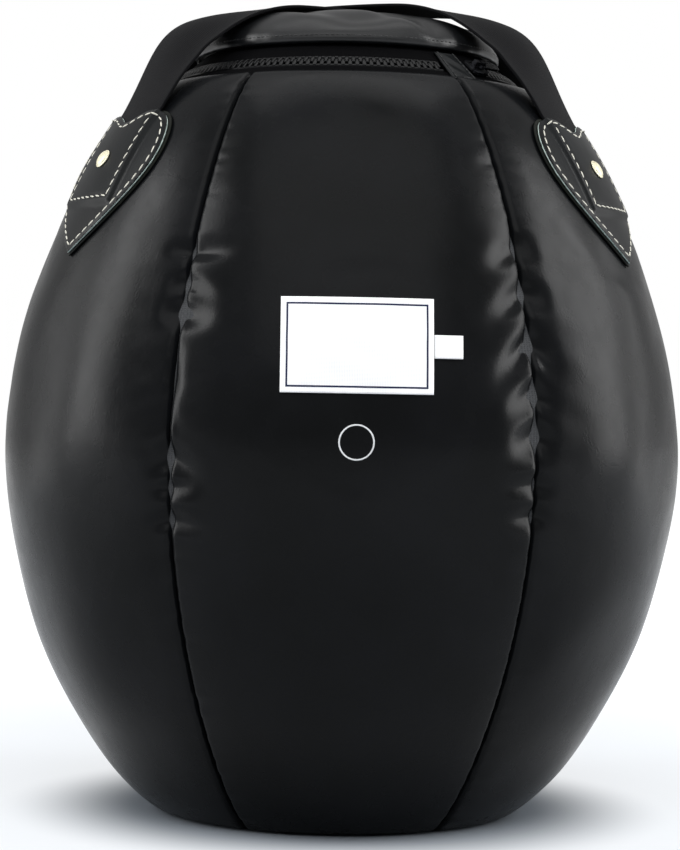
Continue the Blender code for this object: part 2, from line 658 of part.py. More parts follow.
def make_patches(gores, straps):
    """Four heart patches over the straps' ends, each with its backing, rivet and rivet cap."""
    half = STRAP_WIDTH / 2
    drape_in, drape_out = half + LAYER_GAP * 2, half + LAYER_GAP * 2 + DRAPE_FOOT
    edge = PATCH_WIDTH / 2 + BACKING_MARGIN * 2
    columns = mirrored([half / 2, drape_in, drape_out, (drape_out + edge) / 2, edge])
    top = PATCH_LENGTH / 2 + BACKING_MARGIN * 2
    foot = -STRAP_TUCK - LAYER_GAP * 2
    sewn = strap_sewn_rows()
    rows = [-top, (foot - DRAPE_FOOT - top) / 2, foot - DRAPE_FOOT, foot] + sewn[1:-1] + [top]

    def drape(across, up):
        over_strap = abs(across) < drape_in + 0.00001 and up > foot - 0.00001
        lift = STRAP_THICKNESS + LAYER_GAP if over_strap else 0.0
        return patch_point(across, up, STRAP_ABOVE + lift)

    def flat(across, up):
        return patch_point(across, up, SEWN_GAP)

    drape_mesh = sheet_mesh("patch", columns, rows, drape)
    backing_columns = mirrored([half / 2, half, (half + edge) / 2, edge])
    backing_rows = [-top, (sewn[0] - top) / 2] + sewn[:-1] + [top]
    backing_mesh = sheet_mesh("patch_backing", backing_columns, backing_rows, flat)
    patch_heart = heart_mesh("patch_heart", 0.0)
    backing_heart = heart_mesh("backing_heart", BACKING_MARGIN)
    hole_radius = RIVET_SHANK_RADIUS + RIVET_CLEARANCE
    hole = prism_mesh("rivet_hole", RIVET_HOLE_SIDES, -RIVET_HOLE_REACH, RIVET_HOLE_REACH, hole_radius)
    for corner, degrees in CORNER_AZIMUTHS.items():
        azimuth = math.radians(degrees)
        turn = Matrix.Rotation(azimuth, 4, "Z")
        heart_place = cover_frame(azimuth, PATCH_CENTRE_HEIGHT, 0)
        hole_cutter = add_cutter("rivet_hole_" + corner, hole, cover_frame(azimuth, RIVET_HEIGHT, 0))
        patch = add_part("patch_" + corner, drape_mesh, LEATHER, turn)
        add_wall(patch, PATCH_WALL, outside=True)
        add_boolean(patch, add_cutter("patch_outline_" + corner, patch_heart, heart_place), "INTERSECT")
        backing = add_part("patch_backing_" + corner, backing_mesh, LEATHER, turn)
        add_wall(backing, BACKING_WALL, outside=True)
        add_boolean(backing, add_cutter("backing_outline_" + corner, backing_heart, heart_place), "INTERSECT")
        for pierced in (patch, backing, gores[corner], straps[corner]):
            add_boolean(pierced, hole_cutter)
        make_rivet(corner, azimuth)


def make_rivet(corner, azimuth):
    """A domed rivet and the cap that holds it inside the gore."""
    cap_top = -LEATHER_WALL - RIVET_CAP_SLACK
    socket = cap_top - RIVET_CAP_SOCKET
    shank_end = socket + LAYER_GAP - RIVET_SEAT
    head = [(0, RIVET_HEAD_RIM + RIVET_HEAD_DOME)]
    for angle in RIVET_DOME_ANGLES:
        rise = RIVET_HEAD_DOME * math.cos(math.radians(angle))
        head.append((RIVET_HEAD_RADIUS * math.sin(math.radians(angle)), RIVET_HEAD_RIM + rise))
    head += [(RIVET_HEAD_RADIUS, RIVET_HEAD_RIM), (RIVET_HEAD_RADIUS, 0)]
    head += [(RIVET_SHANK_RADIUS, 0), (RIVET_SHANK_RADIUS, shank_end), (0, shank_end)]
    place = cover_frame(azimuth, RIVET_HEIGHT, RIVET_SEAT)
    add_turned("rivet_" + corner, head, RIVET_SIDES, RIVET_METAL, place=place)
    socket_radius = RIVET_SHANK_RADIUS + RIVET_CLEARANCE
    depth = RIVET_CAP_SOCKET + RIVET_CAP_FLOOR
    cap = [(0, -RIVET_CAP_SOCKET), (socket_radius, -RIVET_CAP_SOCKET), (socket_radius, 0)]
    cap += [(RIVET_CAP_RADIUS, 0), (RIVET_CAP_RADIUS, -depth), (0, -depth)]
    cap_place = cover_frame(azimuth, RIVET_HEIGHT, cap_top)
    add_turned("rivet_cap_" + corner, cap, RIVET_SIDES, RIVET_METAL, place=cap_place)


def strap_sewn_rows():
    """Rows of a strap's sewn end, as lengths up the patch from its centre, which the patch and its backing share."""
    return spread(-STRAP_TUCK, STRAP_LIFT, STRAP_SEWN_STEPS)


def strap_mesh(name, crossing_height):
    """A strap from patch to patch: sewn flat on the gores at its ends and free over the zipper and the top."""
    lift_off = patch_point(0, STRAP_LIFT, STRAP_ABOVE)
    start = Vector((-lift_off.y, lift_off.z))
    crossing = Vector((0, crossing_height))
    rising = start + STRAP_RISE * Vector((-math.sin(STRAP_LEAN), math.cos(STRAP_LEAN)))
    levelling = crossing + Vector((STRAP_FLAT, 0))

    def front_half(across, station):
        """Sewn where the station is 0 or less, in metres along the gore, and free up to the crossing at 1."""
        if station <= 0:
            return patch_point(across, STRAP_LIFT + station, STRAP_ABOVE)
        rest = 1 - station
        path = rest ** 3 * start + 3 * rest ** 2 * station * rising
        path += 3 * rest * station ** 2 * levelling + station ** 3 * crossing
        leaving = patch_point(across, STRAP_LIFT, STRAP_ABOVE)
        side = across + (leaving.x - across) * rest ** 3
        rounding = (start.x + leaving.y) * rest ** 3
        return Vector((side, rounding - path.x, path.y))

    def place(across, row):
        half, station = row
        if half == "front":
            return front_half(across, station)
        return Matrix.Rotation(math.pi, 3, "Z") @ front_half(-across, station)

    sewn = [up - STRAP_LIFT for up in strap_sewn_rows()[:-1]]
    stations = sewn + spread(0, 1, STRAP_STEPS)
    rows = [("front", station) for station in stations] + [("back", station) for station in stations[-2::-1]]
    return sheet_mesh(name, spread(-STRAP_WIDTH / 2, STRAP_WIDTH / 2, STRAP_COLUMNS), rows, place)


def make_straps():
    """Two crossed straps, the upper one over the lower one, by the corner where each of their ends is sewn."""
    lower_top = LID_TOP_HEIGHT + STRAP_LID_GAP
    upper_top = lower_top + STRAP_THICKNESS + STRAP_CROSS_GAP
    straps = {}
    for name, height, front, back in (
        ("strap_lower", lower_top, "front_left", "back_right"),
        ("strap_upper", upper_top, "front_right", "back_left"),
    ):
        turn = Matrix.Rotation(math.radians(CORNER_AZIMUTHS[front]), 4, "Z")
        strap = add_part(name, strap_mesh(name, height), WEBBING, turn)
        add_wall(strap, STRAP_THICKNESS, outside=True)
        straps[front] = straps[back] = strap
    return straps


def make_label():
    """The woven label on the front gore and the small tab beside it."""
    tab_left = LABEL_WIDTH / 2 + LAYER_GAP
    pieces = (
        ("label", spread(-LABEL_WIDTH / 2, LABEL_WIDTH / 2, LABEL_COLUMNS), LABEL_LENGTH, LABEL_ROWS),
        ("label_tab", spread(tab_left, tab_left + LABEL_TAB_WIDTH, 2), LABEL_TAB_LENGTH, 1),
    )

    def place(across, height):
        return cover_point(across / body_radius(height), height, SEWN_GAP)

    for name, columns, length, steps in pieces:
        rows = spread(LABEL_HEIGHT - length / 2, LABEL_HEIGHT + length / 2, steps)
        label = add_part(name, sheet_mesh(name, columns, rows, place), LABEL_CLOTH)
        add_wall(label, LABEL_THICKNESS, outside=True)


def main():
    """Builds the whole bag, from the gores out to the label."""
    clear_scene()
    collection("punching_bag")
    collection("cutters")
    gores = make_gores()
    make_base()
    make_lining()
    make_filling()
    make_lid()
    make_tapes()
    make_teeth()
    make_bridge()
    make_slider()
    make_pull()
    straps = make_straps()
    make_patches(gores, straps)
    make_label()


main()
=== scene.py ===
"""Looks of the punching bag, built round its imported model.

Metres, +Z up, the front gore faces -Y. An azimuth is an angle from -Y towards +X. "Above" is a distance
outwards from the outer side of the leather cover.
"""

from __future__ import annotations

import json
import logging
import math
from dataclasses import dataclass, field
from enum import Enum
from functools import cached_property
from typing import Callable, ClassVar, Sequence

import bmesh
import bpy
import numpy as np
from bmesh.types import BMesh
from bpy.types import Material, Mesh, Node, NodeSocket, NodeTree, Object
from mathutils import Matrix, Vector
from numpy import ndarray

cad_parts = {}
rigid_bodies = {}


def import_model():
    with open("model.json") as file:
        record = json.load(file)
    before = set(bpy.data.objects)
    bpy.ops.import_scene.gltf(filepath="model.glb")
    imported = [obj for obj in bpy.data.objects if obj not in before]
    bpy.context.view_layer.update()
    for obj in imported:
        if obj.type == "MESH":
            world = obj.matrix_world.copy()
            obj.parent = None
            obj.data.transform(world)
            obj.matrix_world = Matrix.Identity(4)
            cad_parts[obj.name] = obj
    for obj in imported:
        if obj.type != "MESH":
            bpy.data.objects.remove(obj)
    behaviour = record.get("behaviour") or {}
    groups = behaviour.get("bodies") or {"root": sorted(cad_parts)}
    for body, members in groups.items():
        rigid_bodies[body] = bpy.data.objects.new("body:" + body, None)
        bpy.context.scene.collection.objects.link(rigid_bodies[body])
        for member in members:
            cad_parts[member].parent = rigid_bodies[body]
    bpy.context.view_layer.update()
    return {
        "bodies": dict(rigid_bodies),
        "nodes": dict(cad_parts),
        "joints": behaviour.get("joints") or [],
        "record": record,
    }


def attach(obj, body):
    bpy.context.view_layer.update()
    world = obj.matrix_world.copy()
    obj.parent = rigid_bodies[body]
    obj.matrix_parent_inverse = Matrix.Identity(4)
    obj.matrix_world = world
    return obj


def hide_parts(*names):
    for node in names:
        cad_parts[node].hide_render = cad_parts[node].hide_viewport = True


LOG = logging.getLogger("punching_bag")
MM = 0.001
UV_NAME = "surface_mm"
# The body that every new piece rides on: the slider and the pull keep their CAD meshes
BODY = "bag"
# A wave texture's bands come every pi / 10 units at scale 1
WAVE_UNIT = math.pi / 10
# Values, or output sockets to link, by a node's input name or index
Inputs = dict[str | int, object]


class Slot(Enum):
    """The material slots of the record."""

    LEATHER = "leather"
    BACKING = "backing_leather"
    LINING = "lining_cloth"
    FILLING = "filling_textile"
    WEBBING = "webbing"
    TAPE = "zipper_tape"
    TOOTH = "zipper_tooth"
    SLIDER = "slider_metal"
    RIVET = "rivet_metal"
    LABEL = "label_cloth"


# ---------------------------------------- materials


def linear(hex_colour: str) -> tuple[float, float, float, float]:
    """Turns an sRGB hex colour to linear red, green, blue and alpha.

    Args:
        hex_colour: six hex digits, with or without a leading #.

    Returns:
        The linear colour, with alpha 1.
    """
    digits = hex_colour.lstrip("#")
    channels = [int(digits[k:k + 2], 16) / 255 for k in (0, 2, 4)]
    straight = [c / 12.92 if c <= 0.04045 else ((c + 0.055) / 1.055) ** 2.4 for c in channels]
    return (*straight, 1.0)


def add_node(
    tree: NodeTree,
    kind: str,
    settings: dict[str, object] | None = None,
    inputs: Inputs | None = None,
) -> Node:
    """Adds a node with its settings, values and links.

    Args:
        tree: the node tree.
        kind: the node's type name.
        settings: attributes of the node.
        inputs: what its inputs take.

    Returns:
        The new node.
    """
    node = tree.nodes.new(kind)
    for name, value in (settings or {}).items():
        setattr(node, name, value)
    set_inputs(node, inputs or {})
    return node


def set_inputs(node: Node, inputs: Inputs) -> None:
    """Gives a node's inputs their values and links.

    Args:
        node: the node.
        inputs: what they take: an output socket is linked.
    """
    for key, value in inputs.items():
        if isinstance(value, NodeSocket):
            node.id_data.links.new(value, node.inputs[key])
        else:
            node.inputs[key].default_value = value


def ramp(
    tree: NodeTree, factor: NodeSocket, stops: Sequence[tuple[float, str]]
) -> Node:
    """Adds a colour ramp with stops given as place and hex colour.

    Args:
        tree: the node tree.
        factor: the socket that drives it.
        stops: places from 0 to 1 with their colours, in order.

    Returns:
        The ramp's node.
    """
    node = add_node(tree, "ShaderNodeValToRGB", inputs={"Fac": factor})
    while len(node.color_ramp.elements) < len(stops):
        node.color_ramp.elements.new(0.5)
    for element, (place, colour) in zip(node.color_ramp.elements, stops):
        element.position, element.color = place, linear(colour)
    return node


@dataclass(frozen=True)
class Finish:
    """A finish: what every material here has, with a pattern that each kind draws in its own way."""

    name: str
    colour: str
    roughness: float
    # Whether the pattern lies on the piece's map in millimetres, or else fills space
    mapped: ClassVar[bool] = False

    def make(self) -> Material:
        """Makes the material at its first use.

        Returns:
            The material of that name.
        """
        material = bpy.data.materials.get(self.name)
        if material is None:
            material = bpy.data.materials.new(self.name)
            material.use_nodes = True
            material.diffuse_color = linear(self.colour)
            tree = material.node_tree
            if self.mapped:
                place = add_node(tree, "ShaderNodeUVMap", {"uv_map": UV_NAME}).outputs["UV"]
            else:
                place = add_node(tree, "ShaderNodeTexCoord").outputs["Object"]
            plain = {"Base Color": linear(self.colour), "Roughness": self.roughness}
            set_inputs(tree.nodes["Principled BSDF"], plain | self.pattern(tree, place))
        return material

    def pattern(self, tree: NodeTree, place: NodeSocket) -> Inputs:
        """Draws the pattern at a place on the map or in space, and returns what the shader's inputs take."""
        raise NotImplementedError


@dataclass(frozen=True)
class Leather(Finish):
    """Coated synthetic leather, calendered and embossed: a fine pebble grain under an even semi-gloss film."""

    lighter: str = "#242628"
    shade_mm: float = 70.0
    gloss_mm: float = 18.0
    gloss_spread: tuple[float, float] = (-0.035, 0.045)
    # The real grain is finer, about 0.8 mm, which doesn't show at the picture's 0.6 mm per pixel
    grain_mm: float = 1.3
    grain_depth_mm: float = 0.05
    crease_mm: float = 22.0
    crease_depth_mm: float = 0.35
    specular: float = 0.09

    def pattern(self, tree: NodeTree, place: NodeSocket) -> Inputs:
        """Draws the leather: pebble grain, faint creasing and patchy gloss.

        Args:
            tree: the material's node tree.
            place: where in space, in metres.

        Returns:
            What the shader's inputs take.
        """
        patches = add_node(tree, "ShaderNodeTexNoise", inputs={
            "Vector": place, "Scale": 1 / (self.shade_mm * MM), "Detail": 3.0,
        })
        shade = ramp(tree, patches.outputs["Fac"], ((0.35, self.colour), (0.7, self.lighter)))
        gloss = add_node(tree, "ShaderNodeTexNoise", inputs={
            "Vector": place, "Scale": 1 / (self.gloss_mm * MM), "Detail": 4.0,
        })
        rough = add_node(tree, "ShaderNodeMapRange", inputs={
            "Value": gloss.outputs["Fac"], "From Min": 0.3, "From Max": 0.7,
            "To Min": self.roughness + self.gloss_spread[0], "To Max": self.roughness + self.gloss_spread[1],
        })
        pebbles = add_node(tree, "ShaderNodeTexVoronoi", {"feature": "SMOOTH_F1"}, {
            "Vector": place, "Scale": 1 / (self.grain_mm * MM), "Smoothness": 0.35,
        })
        creases = add_node(tree, "ShaderNodeTexNoise", inputs={
            "Vector": place, "Scale": 1 / (self.crease_mm * MM), "Detail": 3.0, "Roughness": 0.45,
        })
        grain = add_node(tree, "ShaderNodeBump", {"invert": True}, {
            "Height": pebbles.outputs["Distance"], "Strength": 0.55, "Distance": self.grain_depth_mm * MM,
        })
        folds = add_node(tree, "ShaderNodeBump", inputs={
            "Height": creases.outputs["Fac"], "Strength": 0.6, "Distance": self.crease_depth_mm * MM,
            "Normal": grain.outputs["Normal"],
        })
        return {
            "Specular IOR Level": self.specular, "Base Color": shade.outputs["Color"],
            "Roughness": rough.outputs["Result"], "Normal": folds.outputs["Normal"],
        }


@dataclass(frozen=True)
class Weave(Finish):
    """Woven cloth or webbing whose threads run along the piece's own map: ribs along it, crossed by picks."""

    mapped: ClassVar[bool] = True
    rib_mm: float = 1.5
    pick_mm: float = 1.0
    depth_mm: float = 0.18
    lint: str = "#2b2b2c"
    # The share of the colour that painted shade takes away in the gaps between the threads
    gap_painted_shade: float = 0.35
    sheen: float = 0.15
    specular: float = 0.05

    def pattern(self, tree: NodeTree, place: NodeSocket) -> Inputs:
        """Draws the weave from two bands at right angles, with lint, painted shade in the gaps between the threads, and
        a soft sheen.

        Args:
            tree: the material's node tree.
            place: where on the map, in millimetres.

        Returns:
            What the shader's inputs take.
        """
        bands = []
        for direction, spacing in (("X", self.rib_mm), ("Y", self.pick_mm)):
            wave = add_node(tree, "ShaderNodeTexWave", {"bands_direction": direction, "wave_profile": "SIN"}, {
                "Vector": place, "Scale": WAVE_UNIT / spacing, "Distortion": 0.6, "Detail": 1.0,
            })
            bands.append(wave.outputs["Fac"])
        crossing = add_node(tree, "ShaderNodeMath", {"operation": "MAXIMUM"}, {0: bands[0], 1: bands[1]})
        fuzz = add_node(tree, "ShaderNodeTexNoise", inputs={"Vector": place, "Scale": 1.4, "Detail": 4.0})
        shade = ramp(tree, fuzz.outputs["Fac"], ((0.4, self.colour), (0.72, self.lint)))
        # Painted shade: the colour is darkened where the crossing bands leave gaps between the threads
        threads = add_node(tree, "ShaderNodeMix", {"data_type": "RGBA", "blend_type": "MULTIPLY"}, {
            "Factor": self.gap_painted_shade, 6: shade.outputs["Color"], 7: crossing.outputs["Value"],
        })
        bump = add_node(tree, "ShaderNodeBump", inputs={
            "Height": crossing.outputs["Value"], "Strength": 0.8, "Distance": self.depth_mm * MM,
        })
        return {
            "Specular IOR Level": self.specular, "Sheen Weight": self.sheen, "Sheen Roughness": 0.5,
            "Base Color": threads.outputs[2], "Normal": bump.outputs["Normal"],
        }


@dataclass(frozen=True)
class WovenLabel(Finish):
    """White damask label cloth: satin woven, with a narrow border woven in dark blue thread."""

    mapped: ClassVar[bool] = True
    width_mm: float = 85.0
    length_mm: float = 53.0
    # The real threads are finer, about 0.2 mm apart, and drawn coarser so that the satin isn't a blank white
    weft_mm: float = 0.7
    warp_mm: float = 0.9
    thread_depth_mm: float = 0.08
    # The colour between the threads: painted shade, darkest where both thread bands dip
    shaded: str = "#e6e6e8"
    border_inset_mm: float = 3.1
    border_width_mm: float = 1.1
    border: str = "#1d2340"
    specular: float = 0.15

    def pattern(self, tree: NodeTree, place: NodeSocket) -> Inputs:
        """Draws the satin, with painted shade between its threads, and, where the border has a width, the woven border.

        Args:
            tree: the material's node tree.
            place: where on the map, in millimetres.

        Returns:
            What the shader's inputs take.
        """
        weft, warp = (
            add_node(tree, "ShaderNodeTexWave", {"bands_direction": direction}, {
                "Vector": place, "Scale": WAVE_UNIT / spacing, "Distortion": 0.8, "Detail": 2.0,
            }) for direction, spacing in (("Y", self.weft_mm), ("X", self.warp_mm))
        )
        threads = add_node(tree, "ShaderNodeMath", {"operation": "ADD"}, {
            0: weft.outputs["Fac"], 1: warp.outputs["Fac"],
        })
        # Painted shade: the white darkens towards the shaded colour between the threads
        shade = ramp(tree, threads.outputs["Value"], ((0.0, self.shaded), (1.0, self.colour)))
        colour = shade.outputs["Color"]
        if self.border_width_mm > 0:
            split = add_node(tree, "ShaderNodeSeparateXYZ", inputs={"Vector": place})
            inside = []
            for axis, size in (("X", self.width_mm), ("Y", self.length_mm)):
                far = add_node(tree, "ShaderNodeMath", {"operation": "ABSOLUTE"}, {0: split.outputs[axis]})
                inside.append(add_node(tree, "ShaderNodeMath", {"operation": "SUBTRACT"}, {
                    0: size / 2, 1: far.outputs["Value"],
                }).outputs["Value"])
            edge = add_node(tree, "ShaderNodeMath", {"operation": "MINIMUM"}, {0: inside[0], 1: inside[1]})
            line = add_node(tree, "ShaderNodeMath", {"operation": "COMPARE"}, {
                0: edge.outputs["Value"], 1: self.border_inset_mm + self.border_width_mm / 2,
                2: self.border_width_mm / 2,
            })
            mixed = add_node(tree, "ShaderNodeMix", {"data_type": "RGBA"}, {
                "Factor": line.outputs["Value"], 6: colour, 7: linear(self.border),
            })
            colour = mixed.outputs[2]
        bump = add_node(tree, "ShaderNodeBump", inputs={
            "Height": threads.outputs["Value"], "Strength": 0.5, "Distance": self.thread_depth_mm * MM,
        })
        return {
            "Specular IOR Level": self.specular, "Base Color": colour, "Normal": bump.outputs["Normal"],
        }


@dataclass(frozen=True)
class Thread(Finish):
    """Waxed polyester sewing thread, twisted from three strands: fine slanting ridges and a dull shine."""

    twist_mm: float = 0.7
    twist_depth_mm: float = 0.12
    soil_mm: float = 9.0
    soil_share: float = 0.62

    def pattern(self, tree: NodeTree, place: NodeSocket) -> Inputs:
        """Draws the thread's mottled colour and its twist.

        Args:
            tree: the material's node tree.
            place: where in space, in metres.

        Returns:
            What the shader's inputs take.
        """
        twist = add_node(tree, "ShaderNodeTexWave", {"bands_direction": "DIAGONAL"}, {
            "Vector": place, "Scale": WAVE_UNIT / (self.twist_mm * MM), "Distortion": 1.0,
        })
        soil = add_node(tree, "ShaderNodeTexNoise", inputs={
            "Vector": place, "Scale": 1 / (self.soil_mm * MM), "Detail": 2.0,
        })
        dark = tuple(self.soil_share * c for c in linear(self.colour)[:3])
        shade = add_node(tree, "ShaderNodeMix", {"data_type": "RGBA"}, {
            "Factor": soil.outputs["Fac"], 6: linear(self.colour), 7: (*dark, 1.0),
        })
        bump = add_node(tree, "ShaderNodeBump", inputs={
            "Height": twist.outputs["Fac"], "Strength": 0.7, "Distance": self.twist_depth_mm * MM,
        })
        return {
            "Base Color": shade.outputs[2], "Normal": bump.outputs["Normal"],
        }


@dataclass(frozen=True)
class Metal(Finish):
    """Plated metal, pressed or cast: an even coat with handling marks that change its roughness."""

    tarnish: str = "#8f8a78"
    mark_mm: float = 2.5
    mark_depth_mm: float = 0.05
    mark_spread: tuple[float, float] = (-0.06, 0.08)
    metallic: float = 1.0

    def pattern(self, tree: NodeTree, place: NodeSocket) -> Inputs:
        """Draws the plated metal with small marks.

        Args:
            tree: the material's node tree.
            place: where in space, in metres.

        Returns:
            What the shader's inputs take.
        """
        marks = add_node(tree, "ShaderNodeTexNoise", inputs={
            "Vector": place, "Scale": 1 / (self.mark_mm * MM), "Detail": 5.0, "Roughness": 0.65,
        })
        shade = ramp(tree, marks.outputs["Fac"], ((0.25, self.tarnish), (0.5, self.colour)))
        rough = add_node(tree, "ShaderNodeMapRange", inputs={
            "Value": marks.outputs["Fac"], "From Min": 0.3, "From Max": 0.7,
            "To Min": self.roughness + self.mark_spread[0], "To Max": self.roughness + self.mark_spread[1],
        })
        bump = add_node(tree, "ShaderNodeBump", inputs={
            "Height": marks.outputs["Fac"], "Strength": 0.25, "Distance": self.mark_depth_mm * MM,
        })
        return {
            "Metallic": self.metallic, "Base Color": shade.outputs["Color"], "Roughness": rough.outputs["Result"],
            "Normal": bump.outputs["Normal"],
        }


@dataclass(frozen=True)
class Mottled(Finish):
    """Moulded resin, printed ink or bare fibre: one colour with darker or paler mottling and a slight roughness."""

    # Places on the noise from 0 to 1 with their colours; the finish's own colour is the commonest one
    tones: tuple[tuple[float, str], ...] = ((0.3, "#070708"), (0.8, "#0f1011"))
    mottle_mm: float = 0.8
    detail: float = 3.0
    bump: float = 0.3
    depth_mm: float = 0.04
    specular: float = 0.13

    def pattern(self, tree: NodeTree, place: NodeSocket) -> Inputs:
        """Draws the mottling and its relief.

        Args:
            tree: the material's node tree.
            place: where in space, in metres.

        Returns:
            What the shader's inputs take.
        """
        mottle = add_node(tree, "ShaderNodeTexNoise", inputs={
            "Vector": place, "Scale": 1 / (self.mottle_mm * MM), "Detail": self.detail,
        })
        shade = ramp(tree, mottle.outputs["Fac"], self.tones)
        bump = add_node(tree, "ShaderNodeBump", inputs={
            "Height": mottle.outputs["Fac"], "Strength": self.bump, "Distance": self.depth_mm * MM,
        })
        return {
            "Specular IOR Level": self.specular, "Base Color": shade.outputs["Color"],
            "Normal": bump.outputs["Normal"],
        }


@dataclass(frozen=True)
class Cuttings(Finish):
    """Packed textile cuttings: rags of several greys pressed together."""

    rag_mm: float = 22.0
    rag_depth_mm: float = 4.0
    greys: tuple[tuple[float, str], ...] = (
        (0.0, "#77736c"), (0.3, "#a39c90"), (0.55, "#6d7480"), (0.8, "#b9b4aa"), (1.0, "#8b7f77"),
    )

    def pattern(self, tree: NodeTree, place: NodeSocket) -> Inputs:
        """Draws the rags, one cell each, with creased sides.

        Args:
            tree: the material's node tree.
            place: where in space, in metres.

        Returns:
            What the shader's inputs take.
        """
        rags = add_node(tree, "ShaderNodeTexVoronoi", inputs={"Vector": place, "Scale": 1 / (self.rag_mm * MM)})
        split = add_node(tree, "ShaderNodeSeparateColor", inputs={"Color": rags.outputs["Color"]})
        shade = ramp(tree, split.outputs["Red"], self.greys)
        bump = add_node(tree, "ShaderNodeBump", inputs={
            "Height": rags.outputs["Distance"], "Strength": 0.8, "Distance": self.rag_depth_mm * MM,
        })
        return {
            "Base Color": shade.outputs["Color"], "Normal": bump.outputs["Normal"],
        }


# Black semi-gloss: broad soft glows that dim into the creases
COVER_LEATHER = Leather("synthetic_leather_embossed", "#08090a", 0.26, lighter="#0e0f11")
# The same film, worn smoother: paler sheets of light between the lid's dents
TOP_LEATHER = Leather("top_cover_leather_polished", "#0a0b0c", 0.36, lighter="#101113", specular=0.32)
# A shade paler and duller than the cover, so that the hearts read as a layer of their own
PATCH_LEATHER = Leather("patch_leather_embossed", "#0c0d0e", 0.31, lighter="#151718", grain_mm=1.1)
# Dull and nearly black: a shadow line behind the hearts' pale edges
BACKING_LEATHER = Leather("backing_leather_split", "#0e100f", 0.55, lighter="#1a1c18", grain_mm=0.9)
# The fibre between the leather's two black films: the pale grey-green line that draws the hearts' outlines
CUT_EDGE = Mottled(
    "leather_cut_edge", "#c9d9d2", 0.75, ((0.25, "#869791"), (0.5, "#c9d9d2"), (0.8, "#d3dfda")),
    mottle_mm=1.6, detail=5.0, bump=0.6, depth_mm=0.2, specular=0.5,
)
# Matt black without a glint, flatter than the leather that it crosses
NYLON_WEBBING = Weave(
    "nylon_webbing_woven", "#08080a", 0.7,
    rib_mm=1.55, pick_mm=1.05, depth_mm=0.22, lint="#111113", sheen=0.02,
)
# The darkest surface, which the teeth stand out from; its real threads are finer, about 0.5 mm apart
ZIPPER_TAPE = Weave(
    "polyester_tape_woven", "#070708", 0.75,
    rib_mm=0.9, pick_mm=0.7, depth_mm=0.10, lint="#0e0e0f", sheen=0.0, specular=0.01,
)
# Plain mid-grey cloth, seen only with the cover taken away
LINING_CLOTH = Weave("polyester_lining_woven", "#3a3b3d", 0.85, rib_mm=1.2, pick_mm=1.2, lint="#4d4e50")
# Small dull glints, one to a tooth
TOOTH_RESIN = Mottled("acetal_resin_moulded", "#070708", 0.26)
# An even bright white with a thin dark frame
WHITE_LABEL = WovenLabel("damask_label_satin", "#fbfbfc", 0.62)
# The same white without the frame
TAB_LABEL = WovenLabel("damask_tab_satin", "#f8f8f9", 0.66, border_width_mm=0.0)
# A thin off-white line that lies flat on the leather
PRINT_INK = Mottled("screen_ink_printed", "#e8e9ea", 0.5, ((0.3, "#e8e9ea"), (0.8, "#d2d4d6")))
# Cream dashes, soiled here and there
WHITE_THREAD = Thread("waxed_thread_twisted", "#d9d6c9", 0.55)
# Dashes that show by their shine alone
BLACK_THREAD = Thread("black_thread_twisted", "#1b1c1d", 0.45)
# A pale warm yellow with a soft highlight. The pale cream is partly the brass's own colour and partly a painted
# reflection of white surroundings, under a partly metallic coat
RIVET_BRASS_AND_PAINTED_REFLECTION = Metal("brass_cap_and_painted_reflection", "#dcd6bb", 0.42, tarnish="#c4bc9c", metallic=0.35)
# Dark metal with bright edges
SLIDER_BLACK = Metal("black_nickel_zinc", "#55565a", 0.28, tarnish="#2c2d30")
# Mottled greys and tans
RAGS = Cuttings("textile_cuttings_packed", "#938d84", 0.95)


# ---------------------------------------- shape helpers


def smooth(value: ndarray) -> ndarray:
    """Returns an even rise from 0 to 1 with level ends, for values clipped to that range."""
    t = np.clip(value, 0.0, 1.0)
    return t * t * (3 - 2 * t)


def turned(points: ndarray, azimuth: float) -> ndarray:
    """Returns an array of points, n by 3, turned about the bag's axis by an angle in radians."""
    c, s = math.cos(azimuth), math.sin(azimuth)
    return points @ np.array(((c, s, 0.0), (-s, c, 0.0), (0.0, 0.0, 1.0)))


def vertex_array(mesh: Mesh) -> ndarray:
    """Reads a mesh's vertices.

    Args:
        mesh: the mesh.

    Returns:
        An array, n by 3.
    """
    flat = np.empty(len(mesh.vertices) * 3)
    mesh.vertices.foreach_get("co", flat)
    return flat.reshape(-1, 3)


def set_vertices(mesh: Mesh, points: ndarray) -> None:
    """Moves a mesh's vertices to the points of an array, n by 3."""
    mesh.vertices.foreach_set("co", np.ascontiguousarray(points, dtype=np.float32).ravel())
    mesh.update()


def map_surface(
    mesh: Mesh, across: ndarray, along: ndarray, turns_mm: tuple[float, float] = (0.0, 0.0)
) -> None:
    """Gives a mesh a map in millimetres.

    Args:
        mesh: the mesh.
        across: the first coordinate of each vertex, in millimetres.
        along: the second one.
        turns_mm: the length of a whole turn for each coordinate that runs round a closed ring, and else 0.
    """
    layer = mesh.uv_layers.get(UV_NAME) or mesh.uv_layers.new(name=UV_NAME)
    corner_vertices = np.empty(len(mesh.loops), dtype=np.int32)
    mesh.loops.foreach_get("vertex_index", corner_vertices)
    places = np.stack((across[corner_vertices], along[corner_vertices]), axis=1)
    for axis, turn in enumerate(turns_mm):
        if turn:
            for polygon in mesh.polygons:
                face = places[polygon.loop_start:polygon.loop_start + polygon.loop_total, axis]
                if np.ptp(face) > turn / 2:
                    face[face < 0] += turn
    layer.data.foreach_set("uv", places.astype(np.float32).ravel())


def mesh_from(bm: BMesh, name: str) -> Mesh:
    """Turns a bmesh into a mesh and frees it.

    Args:
        bm: the bmesh.
        name: the mesh's name.

    Returns:
        The mesh, smooth shaded.
    """
    mesh = bpy.data.meshes.new(name)
    bm.to_mesh(mesh)
    bm.free()
    mesh.shade_smooth()
    return mesh


